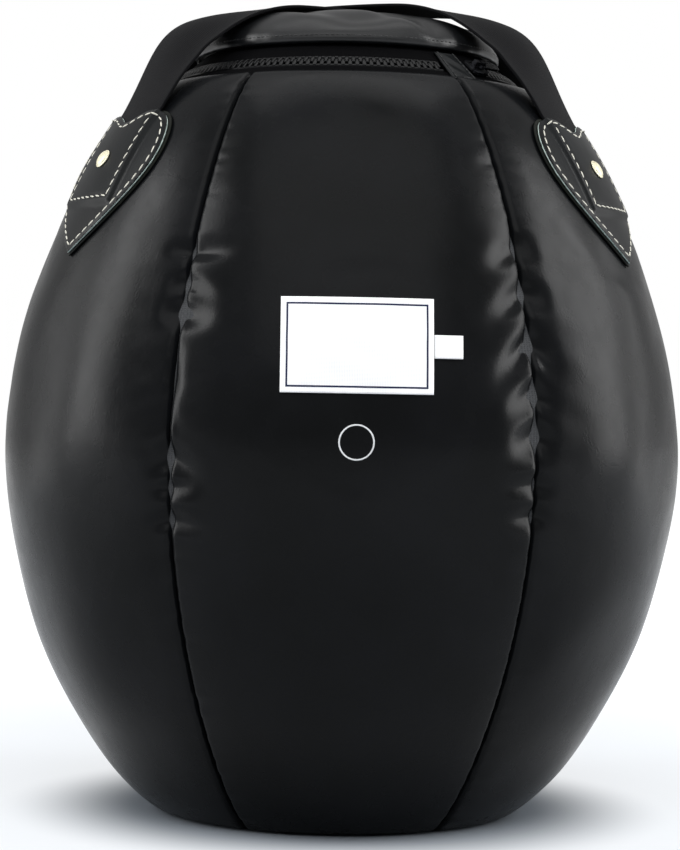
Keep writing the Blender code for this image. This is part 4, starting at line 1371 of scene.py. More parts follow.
@dataclass
class TopCover:
    """The domed top cover: dented here and there, hemmed and topstitched along the zipper."""

    radius: float = 0.097
    edge_height: float = 0.469
    rise: float = 0.028
    powers: tuple[float, float] = (4.0, 1.75)
    wall: float = 0.0016
    steps: int = 216
    rows: int = 64
    hem_width: float = 0.0016
    hem_depth: float = 0.0022
    stitch_inset: float = 0.0035
    # The groove that the stitches pull in, and the puckers between them
    stitch_sink: float = 0.0003
    groove_depth: float = 0.0005
    groove_width: float = 0.0008
    pucker_height: float = 0.00022
    pucker_reach: float = 0.006
    # The dents end this far from the edge
    plain_edge: float = 0.012
    # Azimuth in degrees, share of the radius, length, width and depth in millimetres, and turn in degrees
    dents: tuple[tuple[float, float, float, float, float, float], ...] = (
        (-16, 0.72, 34, 9, 1.9, 25), (4, 0.84, 34, 11, 2.4, -20), (27, 0.80, 26, 8, 2.0, 60),
        (-52, 0.62, 26, 9, 1.2, -20), (64, 0.78, 30, 9, 1.3, 30), (110, 0.6, 34, 11, 1.5, -15),
        (158, 0.75, 36, 9, 1.4, 20), (-150, 0.7, 32, 9, 1.3, -25), (-104, 0.76, 36, 10, 1.4, 12),
    )

    def profile(self, angle: ndarray) -> tuple[ndarray, ndarray]:
        """Draws the outline.

        Args:
            angle: 0 at its top and a right angle at its edge.

        Returns:
            Its radii and heights.
        """
        radius = self.radius * np.sin(angle) ** (2 / self.powers[0])
        rise = np.clip(np.cos(angle), 0, None) ** (2 / self.powers[1])
        return radius, self.edge_height + self.rise * rise

    def even_angles(self) -> ndarray:
        """Spaces points evenly along the outline.

        Returns:
            Their angles.
        """
        fine = np.sin(np.linspace(0, 1, 3000) * math.pi / 2) ** 4 * math.pi / 2
        radius, height = self.profile(fine)
        length = np.concatenate(([0.0], np.cumsum(np.hypot(np.diff(radius), np.diff(height)))))
        return np.interp(np.linspace(0, length[-1], self.rows), length, fine)

    def to_edge(self, radius: ndarray, height: ndarray) -> ndarray:
        """Returns about how far along the leather each point is from the cover's edge."""
        return np.hypot(self.radius - radius, 0.8 * (height - self.edge_height))

    def relief(self, points: ndarray) -> ndarray:
        """Works out the relief.

        Args:
            points: the dome's points.

        Returns:
            How far each point of the plain dome is moved outwards.
        """
        angle, radius = azimuth_of(points), np.hypot(points[:, 0], points[:, 1])
        sink = np.zeros(len(points))
        for degrees, share, length, width, depth, turn in self.dents:
            centre = math.radians(degrees)
            round_bag = (angle - centre + math.pi) % (2 * math.pi) - math.pi
            x, y = round_bag * radius, radius - share * self.radius
            c, s = math.cos(math.radians(turn)), math.sin(math.radians(turn))
            run, off = x * c + y * s, y * c - x * s
            fade = np.exp(-((run / (length * MM)) ** 2))
            valley = np.exp(-((off / (width * MM)) ** 2))
            ridge = np.exp(-(((off - 1.6 * width * MM) / (width * MM)) ** 2))
            sink += depth * MM * fade * (0.4 * ridge - valley)
        to_edge = self.to_edge(radius, points[:, 2])
        waves = np.sin(46 * angle + 1.5 * np.sin(9 * angle))
        pucker = self.pucker_height * waves * np.exp(-to_edge / self.pucker_reach)
        hem = -self.hem_depth * np.exp(-((to_edge / self.hem_width) ** 2))
        groove = -self.groove_depth * np.exp(-(((to_edge - self.stitch_inset) / self.groove_width) ** 2))
        return sink * smooth(to_edge / self.plain_edge) + pucker + hem + groove

    def build(self) -> list[Object]:
        """Builds the cover and its topstitching.

        Returns:
            The pieces.
        """
        radius, height = self.profile(self.even_angles())
        mesh = spun("top_cover_dome", list(zip(radius, height)), self.steps)
        points = vertex_array(mesh)
        normals = np.empty(len(mesh.vertices) * 3)
        mesh.vertices.foreach_get("normal", normals)
        normals = normals.reshape(-1, 3)
        set_vertices(mesh, points + normals * self.relief(points)[:, None])
        dome = add_piece("top_cover_dome", mesh, (TOP_LEATHER,), ("top_cover",))
        add_wall(dome, self.wall, outside=False)
        return [dome, self.topstitching()]

    def topstitching(self) -> Object:
        """Builds the row of stitches along the cover's edge.

        Returns:
            The piece.
        """
        radius, height = self.profile(self.even_angles())
        level = int(np.argmin(np.abs(self.to_edge(radius, height) - self.stitch_inset)))
        row = StitchRow(pitch=0.0032, length=0.0025, width=0.0007)
        count = round(2 * math.pi * radius[level] / row.pitch)
        angle = np.arange(count) * 2 * math.pi / count
        run = np.array((radius[level] - radius[level - 4], height[level] - height[level - 4]))
        out = np.array((-run[1], run[0])) / np.hypot(*run)
        ring = np.stack((np.sin(angle), -np.cos(angle), np.zeros(count)), axis=1)
        normals = ring * out[0] + np.array((0, 0, out[1]))
        places = ring * radius[level] + np.array((0, 0, height[level])) - normals * self.stitch_sink
        along = np.stack((np.cos(angle), np.sin(angle), np.zeros(count)), axis=1)
        bm = bmesh.new()
        row.sew(bm, places, along, normals)
        mesh = mesh_from(bm, "top_cover_stitches")
        return add_piece("top_cover_stitches", mesh, (BLACK_THREAD,))


# ---------------------------------------- the zipper


@dataclass
class Zipper:
    """The moulded zipper: two tapes, two rows of teeth that mesh, and the leather tab over its ends."""

    tape_tuck: float = 0.006
    tape_thickness: float = 0.0009
    tape_depth: float = 0.0038
    chain_half_width: float = 0.0048
    tooth_pitch: float = 0.0042
    tooth_reach: float = 0.00135
    # A tooth's sections from its tip: the distance from the tip, the width along the chain, and the height
    tooth_sections: tuple[tuple[float, float, float], ...] = (
        (0.0, 0.0016, 0.0024), (0.0007, 0.0022, 0.0029), (0.00165, 0.0012, 0.0028), (0.00305, 0.0024, 0.0032),
        (0.00585, 0.0022, 0.0020),
    )
    tooth_rounding: float = 0.00028
    tape_to_teeth: float = 0.0005
    # The cord along each tape's edge that the teeth grip: its radius, sides and inset from the chain's edge
    cord_radius: float = 0.0009
    cord_sides: int = 6
    cord_inset: float = 0.0006
    bridge_azimuth: float = math.radians(35.0)
    bridge_width: float = 0.018
    bridge_thickness: float = 0.0020
    bridge_end_gap: float = 0.0010
    bridge_cells: tuple[int, int] = (32, 48)
    bridge_stitch_line: float = 0.0066
    layer_gap: float = 0.0003

    @property
    def chain_depth(self) -> float:
        """How far the middle of the chain lies under the leather's outer side."""
        return self.tape_depth + self.tape_thickness / 2

    def tapes(self) -> list[Object]:
        """Builds the two tapes.

        Returns:
            The pieces.
        """
        reach = self.chain_half_width + self.tape_to_teeth
        round_mm = BAND.chain_radius / MM
        pieces = []
        for side, low, high in (("lower", -self.tape_tuck, BAND.width / 2 - reach),
                                ("upper", BAND.width / 2 + reach, BAND.width + self.tape_tuck)):
            top, under = -self.tape_depth, -self.tape_depth - self.tape_thickness
            steps = np.linspace(low, high, 12)
            profile = [BAND.section(a, top) for a in steps[::-1]] + [BAND.section(a, under) for a in steps]
            mesh = spun(f"tape_{side}_cloth", profile, 240, closed=True)
            points = vertex_array(mesh)
            map_surface(
                mesh, points[:, 2] / MM / math.sin(BAND.slope), azimuth_of(points) * round_mm,
                turns_mm=(0.0, 2 * math.pi * round_mm),
            )
            tape = add_piece(f"tape_{side}_cloth", mesh, (ZIPPER_TAPE,), (f"zipper_tape_{side}",))
            pieces.append(tape)
        return pieces

    def tooth(self) -> Mesh:
        """Makes a tooth: its root grips the tape's cord, and its head reaches past the chain's middle.

        Returns:
            The mesh, with the chain's middle at its origin.
        """
        bm = bmesh.new()
        bmesh.ops.create_cube(bm, size=1.0)
        last = len(self.tooth_sections) - 1
        bmesh.ops.subdivide_edges(
            bm, edges=[e for e in bm.edges if abs((e.verts[0].co - e.verts[1].co).y) > 0.5], cuts=last - 1
        )
        for vert in bm.verts:
            from_tip, width, height = self.tooth_sections[round((vert.co.y + 0.5) * last)]
            vert.co = Vector((
                math.copysign(width / 2, vert.co.x), from_tip - self.tooth_reach, math.copysign(height / 2, vert.co.z),
            ))
        bmesh.ops.bevel(
            bm, geom=[e for e in bm.edges if abs((e.verts[0].co - e.verts[1].co).x) < 0.0009],
            offset=self.tooth_rounding, segments=1, profile=0.5, affect="EDGES", material=-1,
        )
        return mesh_from(bm, "tooth_pattern")

    def cord(self, side: int, start: float, turn_open: float, steps: int) -> Mesh:
        """Makes the cord that a row of teeth grips.

        Args:
            side: -1 for the lower row and 1 for the upper one.
            start: the azimuth where it starts.
            turn_open: the angle that it takes.
            steps: its steps over that angle.

        Returns:
            The mesh, in place.
        """
        bm = bmesh.new()
        along = BAND.width / 2 + side * (self.chain_half_width - self.cord_inset)
        verts = []
        for turn in np.arange(self.cord_sides) * 2 * math.pi / self.cord_sides:
            radius, height = BAND.section(
                along + self.cord_radius * math.cos(turn), -self.chain_depth + self.cord_radius * math.sin(turn)
            )
            verts.append(bm.verts.new((0.0, -radius, height)))
        edges = [bm.edges.new(pair) for pair in zip(verts, verts[1:] + verts[:1])]
        bmesh.ops.rotate(bm, verts=verts, cent=(0, 0, 0), matrix=Matrix.Rotation(start, 3, "Z"))
        bmesh.ops.spin(bm, geom=verts + edges, cent=(0, 0, 0), axis=(0, 0, 1), angle=turn_open, steps=steps)
        bmesh.ops.holes_fill(bm, edges=bm.edges[:], sides=self.cord_sides)
        bmesh.ops.recalc_face_normals(bm, faces=bm.faces)
        return mesh_from(bm, "cord_pattern")

    def teeth(self) -> list[Object]:
        """Builds both rows of teeth, each with its cord.

        Returns:
            The pieces.
        """
        beside_bridge = (self.bridge_width / 2 + self.bridge_end_gap) / BAND.chain_radius
        start, turn_open = self.bridge_azimuth + beside_bridge, 2 * (math.pi - beside_bridge)
        # The rows lie half a pitch apart, and the pitch is stretched to end both of them at the bridge
        count = round(turn_open * BAND.chain_radius / self.tooth_pitch - 0.5)
        pitch = turn_open / (count + 0.5)
        pattern = self.tooth()
        pieces = []
        for side, name, phase in ((-1, "lower", 0.0), (1, "upper", 0.5)):
            bm = bmesh.new()
            flip = Matrix.Rotation(0.0 if side > 0 else math.pi, 4, "Z")
            for index in range(count):
                place = BAND.frame(start + (index + phase + 0.5) * pitch, BAND.width / 2, -self.chain_depth)
                before = len(bm.verts)
                bm.from_mesh(pattern)
                bm.verts.ensure_lookup_table()
                bmesh.ops.transform(bm, matrix=place @ flip, verts=bm.verts[before:])
            bm.from_mesh(self.cord(side, start, turn_open, count))
            mesh = mesh_from(bm, f"teeth_{name}_row")
            mesh.set_sharp_from_angle(angle=math.radians(50))
            pieces.append(add_piece(mesh.name, mesh, (TOOTH_RESIN,), (f"zipper_teeth_{name}",)))
        return pieces

    def bridge(self) -> list[Object]:
        """Builds the leather tab over the zipper's ends, with a stitched line down each side.

        Returns:
            The tab and its stitches.
        """
        floor = self.bridge_thickness + self.layer_gap - self.tape_depth
        low, high = self.bridge_end_gap, BAND.width - self.bridge_end_gap
        columns, rows = self.bridge_cells
        mesh, column, row = grid("bridge_tab", columns + 1, rows + 1)
        across = (column / columns * 2 - 1) * self.bridge_width / 2
        along = low + (high - low) * row / rows
        edge = np.minimum(self.bridge_width / 2 - np.abs(across), np.minimum(along - low, high - along))
        # Turned down at its edges, drawn in along the stitches and uneven between them
        sink = -0.0007 * np.exp(-((edge / 0.0008) ** 2))
        sink -= 0.0005 * np.exp(-(((np.abs(across) - self.bridge_stitch_line) / 0.0007) ** 2))
        sink += 0.0004 * np.sin(along / 0.0026 + 2.0 * np.sin(across / 0.004)) * smooth(edge / 0.004)
        set_vertices(mesh, np.array([
            BAND.frame(self.bridge_azimuth + x / BAND.chain_radius, a, floor + s).translation
            for x, a, s in zip(across, along, sink)
        ]))
        tab = add_piece("bridge_tab", mesh, (PATCH_LEATHER,), ("zipper_bridge",))
        add_wall(tab, self.bridge_thickness - self.layer_gap, outside=False)
        bm = bmesh.new()
        stitches = StitchRow(pitch=0.0040, length=0.0029, width=0.0008, slant=0.12)
        for x in (-self.bridge_stitch_line, self.bridge_stitch_line):
            turn = self.bridge_azimuth + x / BAND.chain_radius
            spots = np.arange(low + 0.002, high - 0.001, stitches.pitch)
            frames = [BAND.frame(turn, a, floor - 0.0002) for a in spots]
            places, runs, normals = (
                np.array([part(f) for f in frames])
                for part in (lambda f: f.translation, lambda f: f.col[1].to_3d(), lambda f: f.col[2].to_3d())
            )
            stitches.sew(bm, places, runs, normals)
        thread = add_piece("bridge_stitches", mesh_from(bm, "bridge_stitches"), (BLACK_THREAD,))
        return [tab, thread]

    def build(self) -> list[Object]:
        """Builds the zipper's new pieces and returns them."""
        return self.tapes() + self.teeth() + self.bridge()


# ---------------------------------------- patches, straps, rivets

CORNERS = {"front_right": 60.0, "back_right": 120.0, "back_left": 240.0, "front_left": 300.0}


@dataclass(frozen=True)
class SewnStack:
    """How backing, strap, patch and rivet lie on each other on the gore."""

    centre_height: float = 0.382
    sewn_gap: float = 0.0005
    backing_wall: float = 0.0010
    layer_gap: float = 0.0003
    strap_thickness: float = 0.0018
    patch_wall: float = 0.0018
    strap_width: float = 0.050
    strap_tuck: float = 0.013
    rivet_height: float = 0.395
    # Where the patch comes down beside the strap: how far off, and over what length
    drape_gap: float = 0.0006
    drape_foot: float = 0.0030
    box_inset: float = 0.0016

    @property
    def strap_above(self) -> float:
        """Where the strap's underside lies above the leather."""
        return self.sewn_gap + self.backing_wall + self.layer_gap

    @property
    def rivet_seat(self) -> float:
        """Where the rivet's head lies above the leather."""
        return self.strap_above + self.strap_thickness + 2 * self.layer_gap + self.patch_wall

    def point(self, across: ndarray, up: ndarray, above: ndarray | float) -> ndarray:
        """Returns points above the gore, at lengths across and up the patch from its centre."""
        height = self.centre_height + up * float(OUTLINE.normal(np.array(self.centre_height))[0])
        return OUTLINE.point(across / OUTLINE.radius(height), height, above)

    def lift(self, across: ndarray, up: ndarray) -> ndarray:
        """Works out how far the patch is lifted by the strap's end under it.

        Args:
            across: the place across the patch.
            up: the place up it.

        Returns:
            The distance outwards of each point.
        """
        foot = self.drape_gap + self.drape_foot
        beside = (self.strap_width / 2 + foot - np.abs(across)) / self.drape_foot
        below = (up + self.strap_tuck + foot) / self.drape_foot
        return (self.strap_thickness + self.layer_gap) * smooth(beside) * smooth(below)


STACK = SewnStack()


@dataclass(frozen=True)
class HeartOutline:
    """The patch's heart-shaped outline, as Bezier quarters, and the width of its pale skived edge."""

    width: float = 0.092
    length: float = 0.094
    notch: float = 0.007
    edge_width: float = 0.0027

    def points(self, margin: float = 0.0, steps: int = 26) -> ndarray:
        """Draws the outline.

        Args:
            margin: how far it is grown all round.
            steps: the points in each quarter.

        Returns:
            Its points, from the tip round its right side and back.
        """
        w, l = self.width / 2 + margin, self.length / 2 + margin
        tip, notch = np.array((0, -l)), np.array((0, l - self.notch))
        side, lobe = np.array((w, 0.36 * l)), np.array((0.52 * w, l))
        # The handle that comes in, the knot, and the handle that goes out
        knots = (
            (None, tip, tip + (0.42 * w, 0.30 * l)),
            (side - (0, 0.50 * l), side, side + (0, 0.36 * l)),
            (lobe + (0.26 * w, 0), lobe, lobe - (0.26 * w, 0)),
            (notch + (0.16 * w, 0.02 * l), notch, None),
        )
        t = np.linspace(0, 1, steps, endpoint=False)[:, None]
        right = [
            (1 - t) ** 3 * a + 3 * (1 - t) ** 2 * t * out + 3 * (1 - t) * t ** 2 * into + t ** 3 * b
            for (_, a, out), (into, b, _) in zip(knots, knots[1:])
        ]
        half = np.concatenate(right + [notch[None, :]])
        return np.concatenate((half, half[-2:0:-1] * (-1, 1)))

    def inset(self, depth: float) -> ndarray:
        """Moves the outline inwards, without the loops that this makes at its corners.

        Args:
            depth: how far it is moved.

        Returns:
            Its points.
        """
        outline = self.points()
        ahead = np.roll(outline, -1, axis=0) - np.roll(outline, 1, axis=0)
        ahead /= np.linalg.norm(ahead, axis=1, keepdims=True)
        moved = outline + depth * np.stack((-ahead[:, 1], ahead[:, 0]), axis=1)
        nearest = np.min(np.linalg.norm(moved[:, None, :] - outline[None, :, :], axis=2), axis=1)
        return moved[nearest > depth * 0.985]

    def sheet(self, name: str, margin: float, spacing: float) -> Mesh:
        """Makes the flat filled heart, cut into a grid.

        Args:
            name: the mesh's name.
            margin: how far the outline is grown.
            spacing: the grid's spacing.

        Returns:
            The mesh.
        """
        bm = bmesh.new()
        rim = [bm.verts.new((x, y, 0.0)) for x, y in self.points(margin)]
        bmesh.ops.contextual_create(bm, geom=rim)
        middle = bm.faces[:]
        bmesh.ops.inset_region(bm, faces=middle, thickness=self.edge_width, use_even_offset=True, use_boundary=True)
        for face in bm.faces:
            face.material_index = 0 if face in middle else 1
        limit = self.length / 2 + margin
        for axis in ((1, 0, 0), (0, 1, 0)):
            for place in np.arange(-limit + spacing / 2, limit, spacing):
                geom = bm.verts[:] + bm.edges[:] + bm.faces[:]
                bmesh.ops.bisect_plane(bm, geom=geom, plane_co=Vector(axis) * place, plane_no=axis)
        bmesh.ops.reverse_faces(bm, faces=[face for face in bm.faces if face.normal.z < 0])
        return mesh_from(bm, name)


@dataclass
class Patch:
    """A heart-shaped patch over a strap's end, with its backing, its two stitched lines and its rivet."""

    corner: str
    outline: HeartOutline = field(default_factory=HeartOutline)
    edge_inset: float = 0.0034
    backing_margin: float = 0.0015
    # How far the patch's skived edge drops, and how deep and wide the box line draws it in
    skive: float = 0.0007
    drawn_depth: float = 0.00035
    drawn_width: float = 0.0011
    edge_row: StitchRow = StitchRow(pitch=0.0062, length=0.0056, width=0.0013, slant=0.10)
    box_row: StitchRow = StitchRow(pitch=0.0062, length=0.0057, width=0.0014, slant=-0.20)
    thread_sink: float = 0.0002
    rivet_radius: float = 0.006
    rivet_rim: float = 0.0006
    rivet_dome: float = 0.0016
    shank_radius: float = 0.0024
    shank_length: float = 0.011

    @property
    def azimuth(self) -> float:
        """The azimuth of the patch's middle line."""
        return math.radians(CORNERS[self.corner])

    def top(self, across: ndarray, up: ndarray) -> ndarray:
        """Returns points of the patch's outer side."""
        return STACK.point(across, up, self.above(across, up) + STACK.patch_wall)

    def above(self, across: ndarray, up: ndarray) -> ndarray:
        """Works out how the patch lies: lifted by the strap and sewn down.

        Args:
            across: the place across the patch.
            up: the place up it.

        Returns:
            How far its underside lies above the gore.
        """
        lift = STACK.lift(across, up)
        seam = np.abs(np.abs(across) - (STACK.strap_width / 2 - STACK.box_inset))
        seam = np.where(up > -STACK.strap_tuck + 0.001, seam, 1.0)
        foot = np.abs(up + STACK.strap_tuck - STACK.box_inset)
        foot = np.where(np.abs(across) < STACK.strap_width / 2, foot, 1.0)
        drawn = np.exp(-((np.minimum(seam, foot) / self.drawn_width) ** 2))
        return STACK.strap_above + lift - self.drawn_depth * drawn

    def rim(self, flat: ndarray) -> ndarray:
        """Finds the skived edge.

        Args:
            flat: the flat heart's vertices.

        Returns:
            1 on the flat heart's edge and 0 from the skived band inwards.
        """
        outline = self.outline.points()
        ahead = np.roll(outline, -1, axis=0) - outline
        away = np.full(len(flat), np.inf)
        for start, step in zip(outline, ahead):
            length = float(step @ step)
            share = np.clip((flat[:, :2] - start) @ step / max(length, 1e-12), 0, 1)
            away = np.minimum(away, np.linalg.norm(flat[:, :2] - start - share[:, None] * step, axis=1))
        return 1 - smooth(away / self.outline.edge_width)

    def frames(self, path: ndarray, pitch: float) -> tuple[ndarray, ndarray, ndarray]:
        """Spaces stitches along a flat path on the patch.

        Args:
            path: the path's points across and up the patch.
            pitch: the stitches' spacing.

        Returns:
            Their places, directions and outward directions, turned into place.
        """
        flat, run = resample(path, pitch)
        step = 0.0004
        here = self.top(flat[:, 0], flat[:, 1])
        ahead = self.top(flat[:, 0] + run[:, 0] * step, flat[:, 1] + run[:, 1] * step) - here
        aside = self.top(flat[:, 0] - run[:, 1] * step, flat[:, 1] + run[:, 0] * step) - here
        normals = np.cross(ahead, aside)
        normals /= np.linalg.norm(normals, axis=1, keepdims=True)
        places = here - normals * self.thread_sink
        return tuple(turned(array, self.azimuth) for array in (places, ahead, normals))

    def stitches(self) -> Object:
        """Sews the patch: a line inside its edge and a box round the strap's end.

        Returns:
            The piece.
        """
        bm = bmesh.new()
        outline = self.outline.inset(self.edge_inset)
        closed = np.concatenate((outline, outline[:1]))
        self.edge_row.sew(bm, *self.frames(closed, self.edge_row.pitch))
        side, foot = STACK.strap_width / 2 - STACK.box_inset, STACK.box_inset - STACK.strap_tuck
        # The box's sides end where they reach the line inside the edge
        near = (outline[:, 1] > 0) & (np.abs(np.abs(outline[:, 0]) - side) < 0.002)
        top = float(outline[near, 1].max()) - 0.002
        for path in (((-side, foot), (-side, top)), ((side, foot), (side, top)), ((-side, foot), (side, foot))):
            self.box_row.sew(bm, *self.frames(np.array(path), self.box_row.pitch))
        mesh = mesh_from(bm, f"patch_stitches_{self.corner}")
        return add_piece(mesh.name, mesh, (WHITE_THREAD,))

    def rivet(self) -> Object:
        """Builds the domed rivet with its rolled rim, on its seat.

        Returns:
            The piece.
        """
        radius, rim, shank = self.rivet_radius, self.rivet_rim, self.shank_radius
        profile = [(0.0, rim + self.rivet_dome)]
        profile += [
            (radius * 0.86 * math.sin(t), rim + self.rivet_dome * math.cos(t) ** 0.8) for t in np.linspace(0.25, 1.4, 7)
        ]
        profile += [(radius * 0.90, rim * 0.75), (radius * 0.95, rim * 1.0), (radius, rim * 0.7), (radius, 0.0)]
        profile += [(shank, 0.0), (shank, -self.shank_length), (0.0, -self.shank_length)]
        mesh = spun(f"rivet_head_{self.corner}", profile, 40)
        height = STACK.rivet_height
        across, up = (float(v) for v in OUTLINE.normal(np.array(height)))
        out, rise = Vector((0, -across, up)), Vector((0, up, across))
        place = Matrix((Vector((1, 0, 0)), rise, out)).transposed().to_4x4()
        seat = OUTLINE.point(np.array(0.0), np.array(height), STACK.rivet_seat - 0.0001)
        place.translation = Vector(seat)
        mesh.transform(Matrix.Rotation(self.azimuth, 4, "Z") @ place)
        return add_piece(mesh.name, mesh, (RIVET_BRASS_AND_PAINTED_REFLECTION,), (f"rivet_{self.corner}",))

    def laid(self, name: str, margin: float, above: Callable[[ndarray], ndarray | float]) -> Mesh:
        """Lays a filled heart on the gore.

        Args:
            name: the mesh's name.
            margin: how far the outline is grown.
            above: gives the height above the leather of the flat heart's vertices.

        Returns:
            The mesh.
        """
        mesh = self.outline.sheet(name, margin, spacing=0.0016)
        flat = vertex_array(mesh)
        set_vertices(mesh, turned(STACK.point(flat[:, 0], flat[:, 1], above(flat)), self.azimuth))
        return mesh

    def build(self) -> list[Object]:
        """Builds the patch, its backing, its stitches and its rivet.

        Returns:
            The pieces.
        """
        patch_mesh = self.laid(
            f"heart_patch_{self.corner}", 0.0,
            lambda flat: self.above(flat[:, 0], flat[:, 1]) + STACK.patch_wall - self.skive * self.rim(flat),
        )
        patch = add_piece(
            patch_mesh.name, patch_mesh, (PATCH_LEATHER, CUT_EDGE), (f"patch_{self.corner}",)
        )
        add_wall(patch, STACK.patch_wall - self.skive, outside=False, rim=True)
        backing_mesh = self.laid(
            f"heart_backing_{self.corner}", self.backing_margin, lambda flat: STACK.sewn_gap + STACK.backing_wall
        )
        backing = add_piece(
            backing_mesh.name, backing_mesh, (BACKING_LEATHER, BACKING_LEATHER),
            (f"patch_backing_{self.corner}",),
        )
        add_wall(backing, STACK.backing_wall, outside=False)
        return [patch, backing, self.stitches(), self.rivet()]


@dataclass
class Strap:
    """A strap of webbing from patch to patch: sewn flat at its ends and free over the zipper and the top."""

    name: str
    front: str
    crossing_height: float
    # How far its camera-side edge hangs down between the patch and the crossing, and which edge that is
    droop: float
    droop_side: int
    # The shares of the free length over which the droop grows, where it starts to fade and over which it fades
    droop_window: tuple[float, float, float] = (0.40, 0.50, 0.36)
    lift_off: float = 0.050
    lean: float = math.radians(32.0)
    rise: float = 0.063
    flat: float = 0.132
    columns: int = 25
    free_steps: int = 72
    sewn_steps: int = 22

    def front_half(self, across: ndarray, station: ndarray) -> ndarray:
        """Lays out the underside of the strap's front half.

        Args:
            across: the place across the strap.
            station: 0 or less where it is sewn, and up to 1 at the crossing.

        Returns:
            The points.
        """
        leaving = STACK.point(across, np.full_like(across, self.lift_off), STACK.strap_above)
        middle = STACK.point(np.zeros(1), np.full(1, self.lift_off), STACK.strap_above)[0]
        start, crossing = np.array((-middle[1], middle[2])), np.array((0.0, self.crossing_height))
        rising = start + self.rise * np.array((-math.sin(self.lean), math.cos(self.lean)))
        levelling = crossing + (self.flat, 0.0)
        t = np.clip(station, 0, 1)[:, None]
        rest = 1 - t
        path = rest ** 3 * start + 3 * rest ** 2 * t * rising + 3 * rest * t ** 2 * levelling + t ** 3 * crossing
        fade = rest[:, 0] ** 3
        side = across + (leaving[:, 0] - across) * fade
        rounding = (start[0] + leaving[:, 1]) * fade
        edge = smooth((self.droop_side * across / STACK.strap_width + 0.5)) ** 2
        grows, fades_from, fades_over = self.droop_window
        hang = self.droop * edge * (smooth(t[:, 0] / grows) * (1 - smooth((t[:, 0] - fades_from) / fades_over)))
        free = np.stack((side, rounding - path[:, 0], path[:, 1] - hang), axis=1)
        sewn = STACK.point(across, self.lift_off + np.minimum(station, 0.0), STACK.strap_above)
        return np.where((station <= 0)[:, None], sewn, free)

    def build(self) -> Object:
        """Builds the strap.

        Returns:
            The piece.
        """
        sewn = np.linspace(-(self.lift_off + STACK.strap_tuck), 0, self.sewn_steps, endpoint=False)
        half = np.concatenate((sewn, np.linspace(0, 1, self.free_steps)))
        stations = np.concatenate((half, half[-2::-1]))
        back = np.arange(len(stations)) >= len(half)
        mesh, column, row = grid(f"{self.name}_webbing", self.columns, len(stations))
        across = (column / (self.columns - 1) - 0.5) * STACK.strap_width
        front = self.front_half(across, stations[row])
        behind = turned(self.front_half(-across, stations[row]), math.pi)
        points = np.where(back[row][:, None], behind, front)
        set_vertices(mesh, turned(points, math.radians(CORNERS[self.front])))
        half_line = self.front_half(np.zeros(len(stations)), stations)
        line = np.where(back[:, None], turned(half_line, math.pi), half_line)
        length = np.concatenate(([0.0], np.cumsum(np.linalg.norm(np.diff(line, axis=0), axis=1))))
        map_surface(mesh, across / MM, length[row] / MM)
        piece = add_piece(mesh.name, mesh, (NYLON_WEBBING,), (self.name,))
        add_wall(piece, STACK.strap_thickness, outside=True)
        add_round_edges(piece, 0.0005, segments=2, angle=60.0)
        behind = "back_right" if self.front == "front_left" else "back_left"
        return piece


# ---------------------------------------- the labels


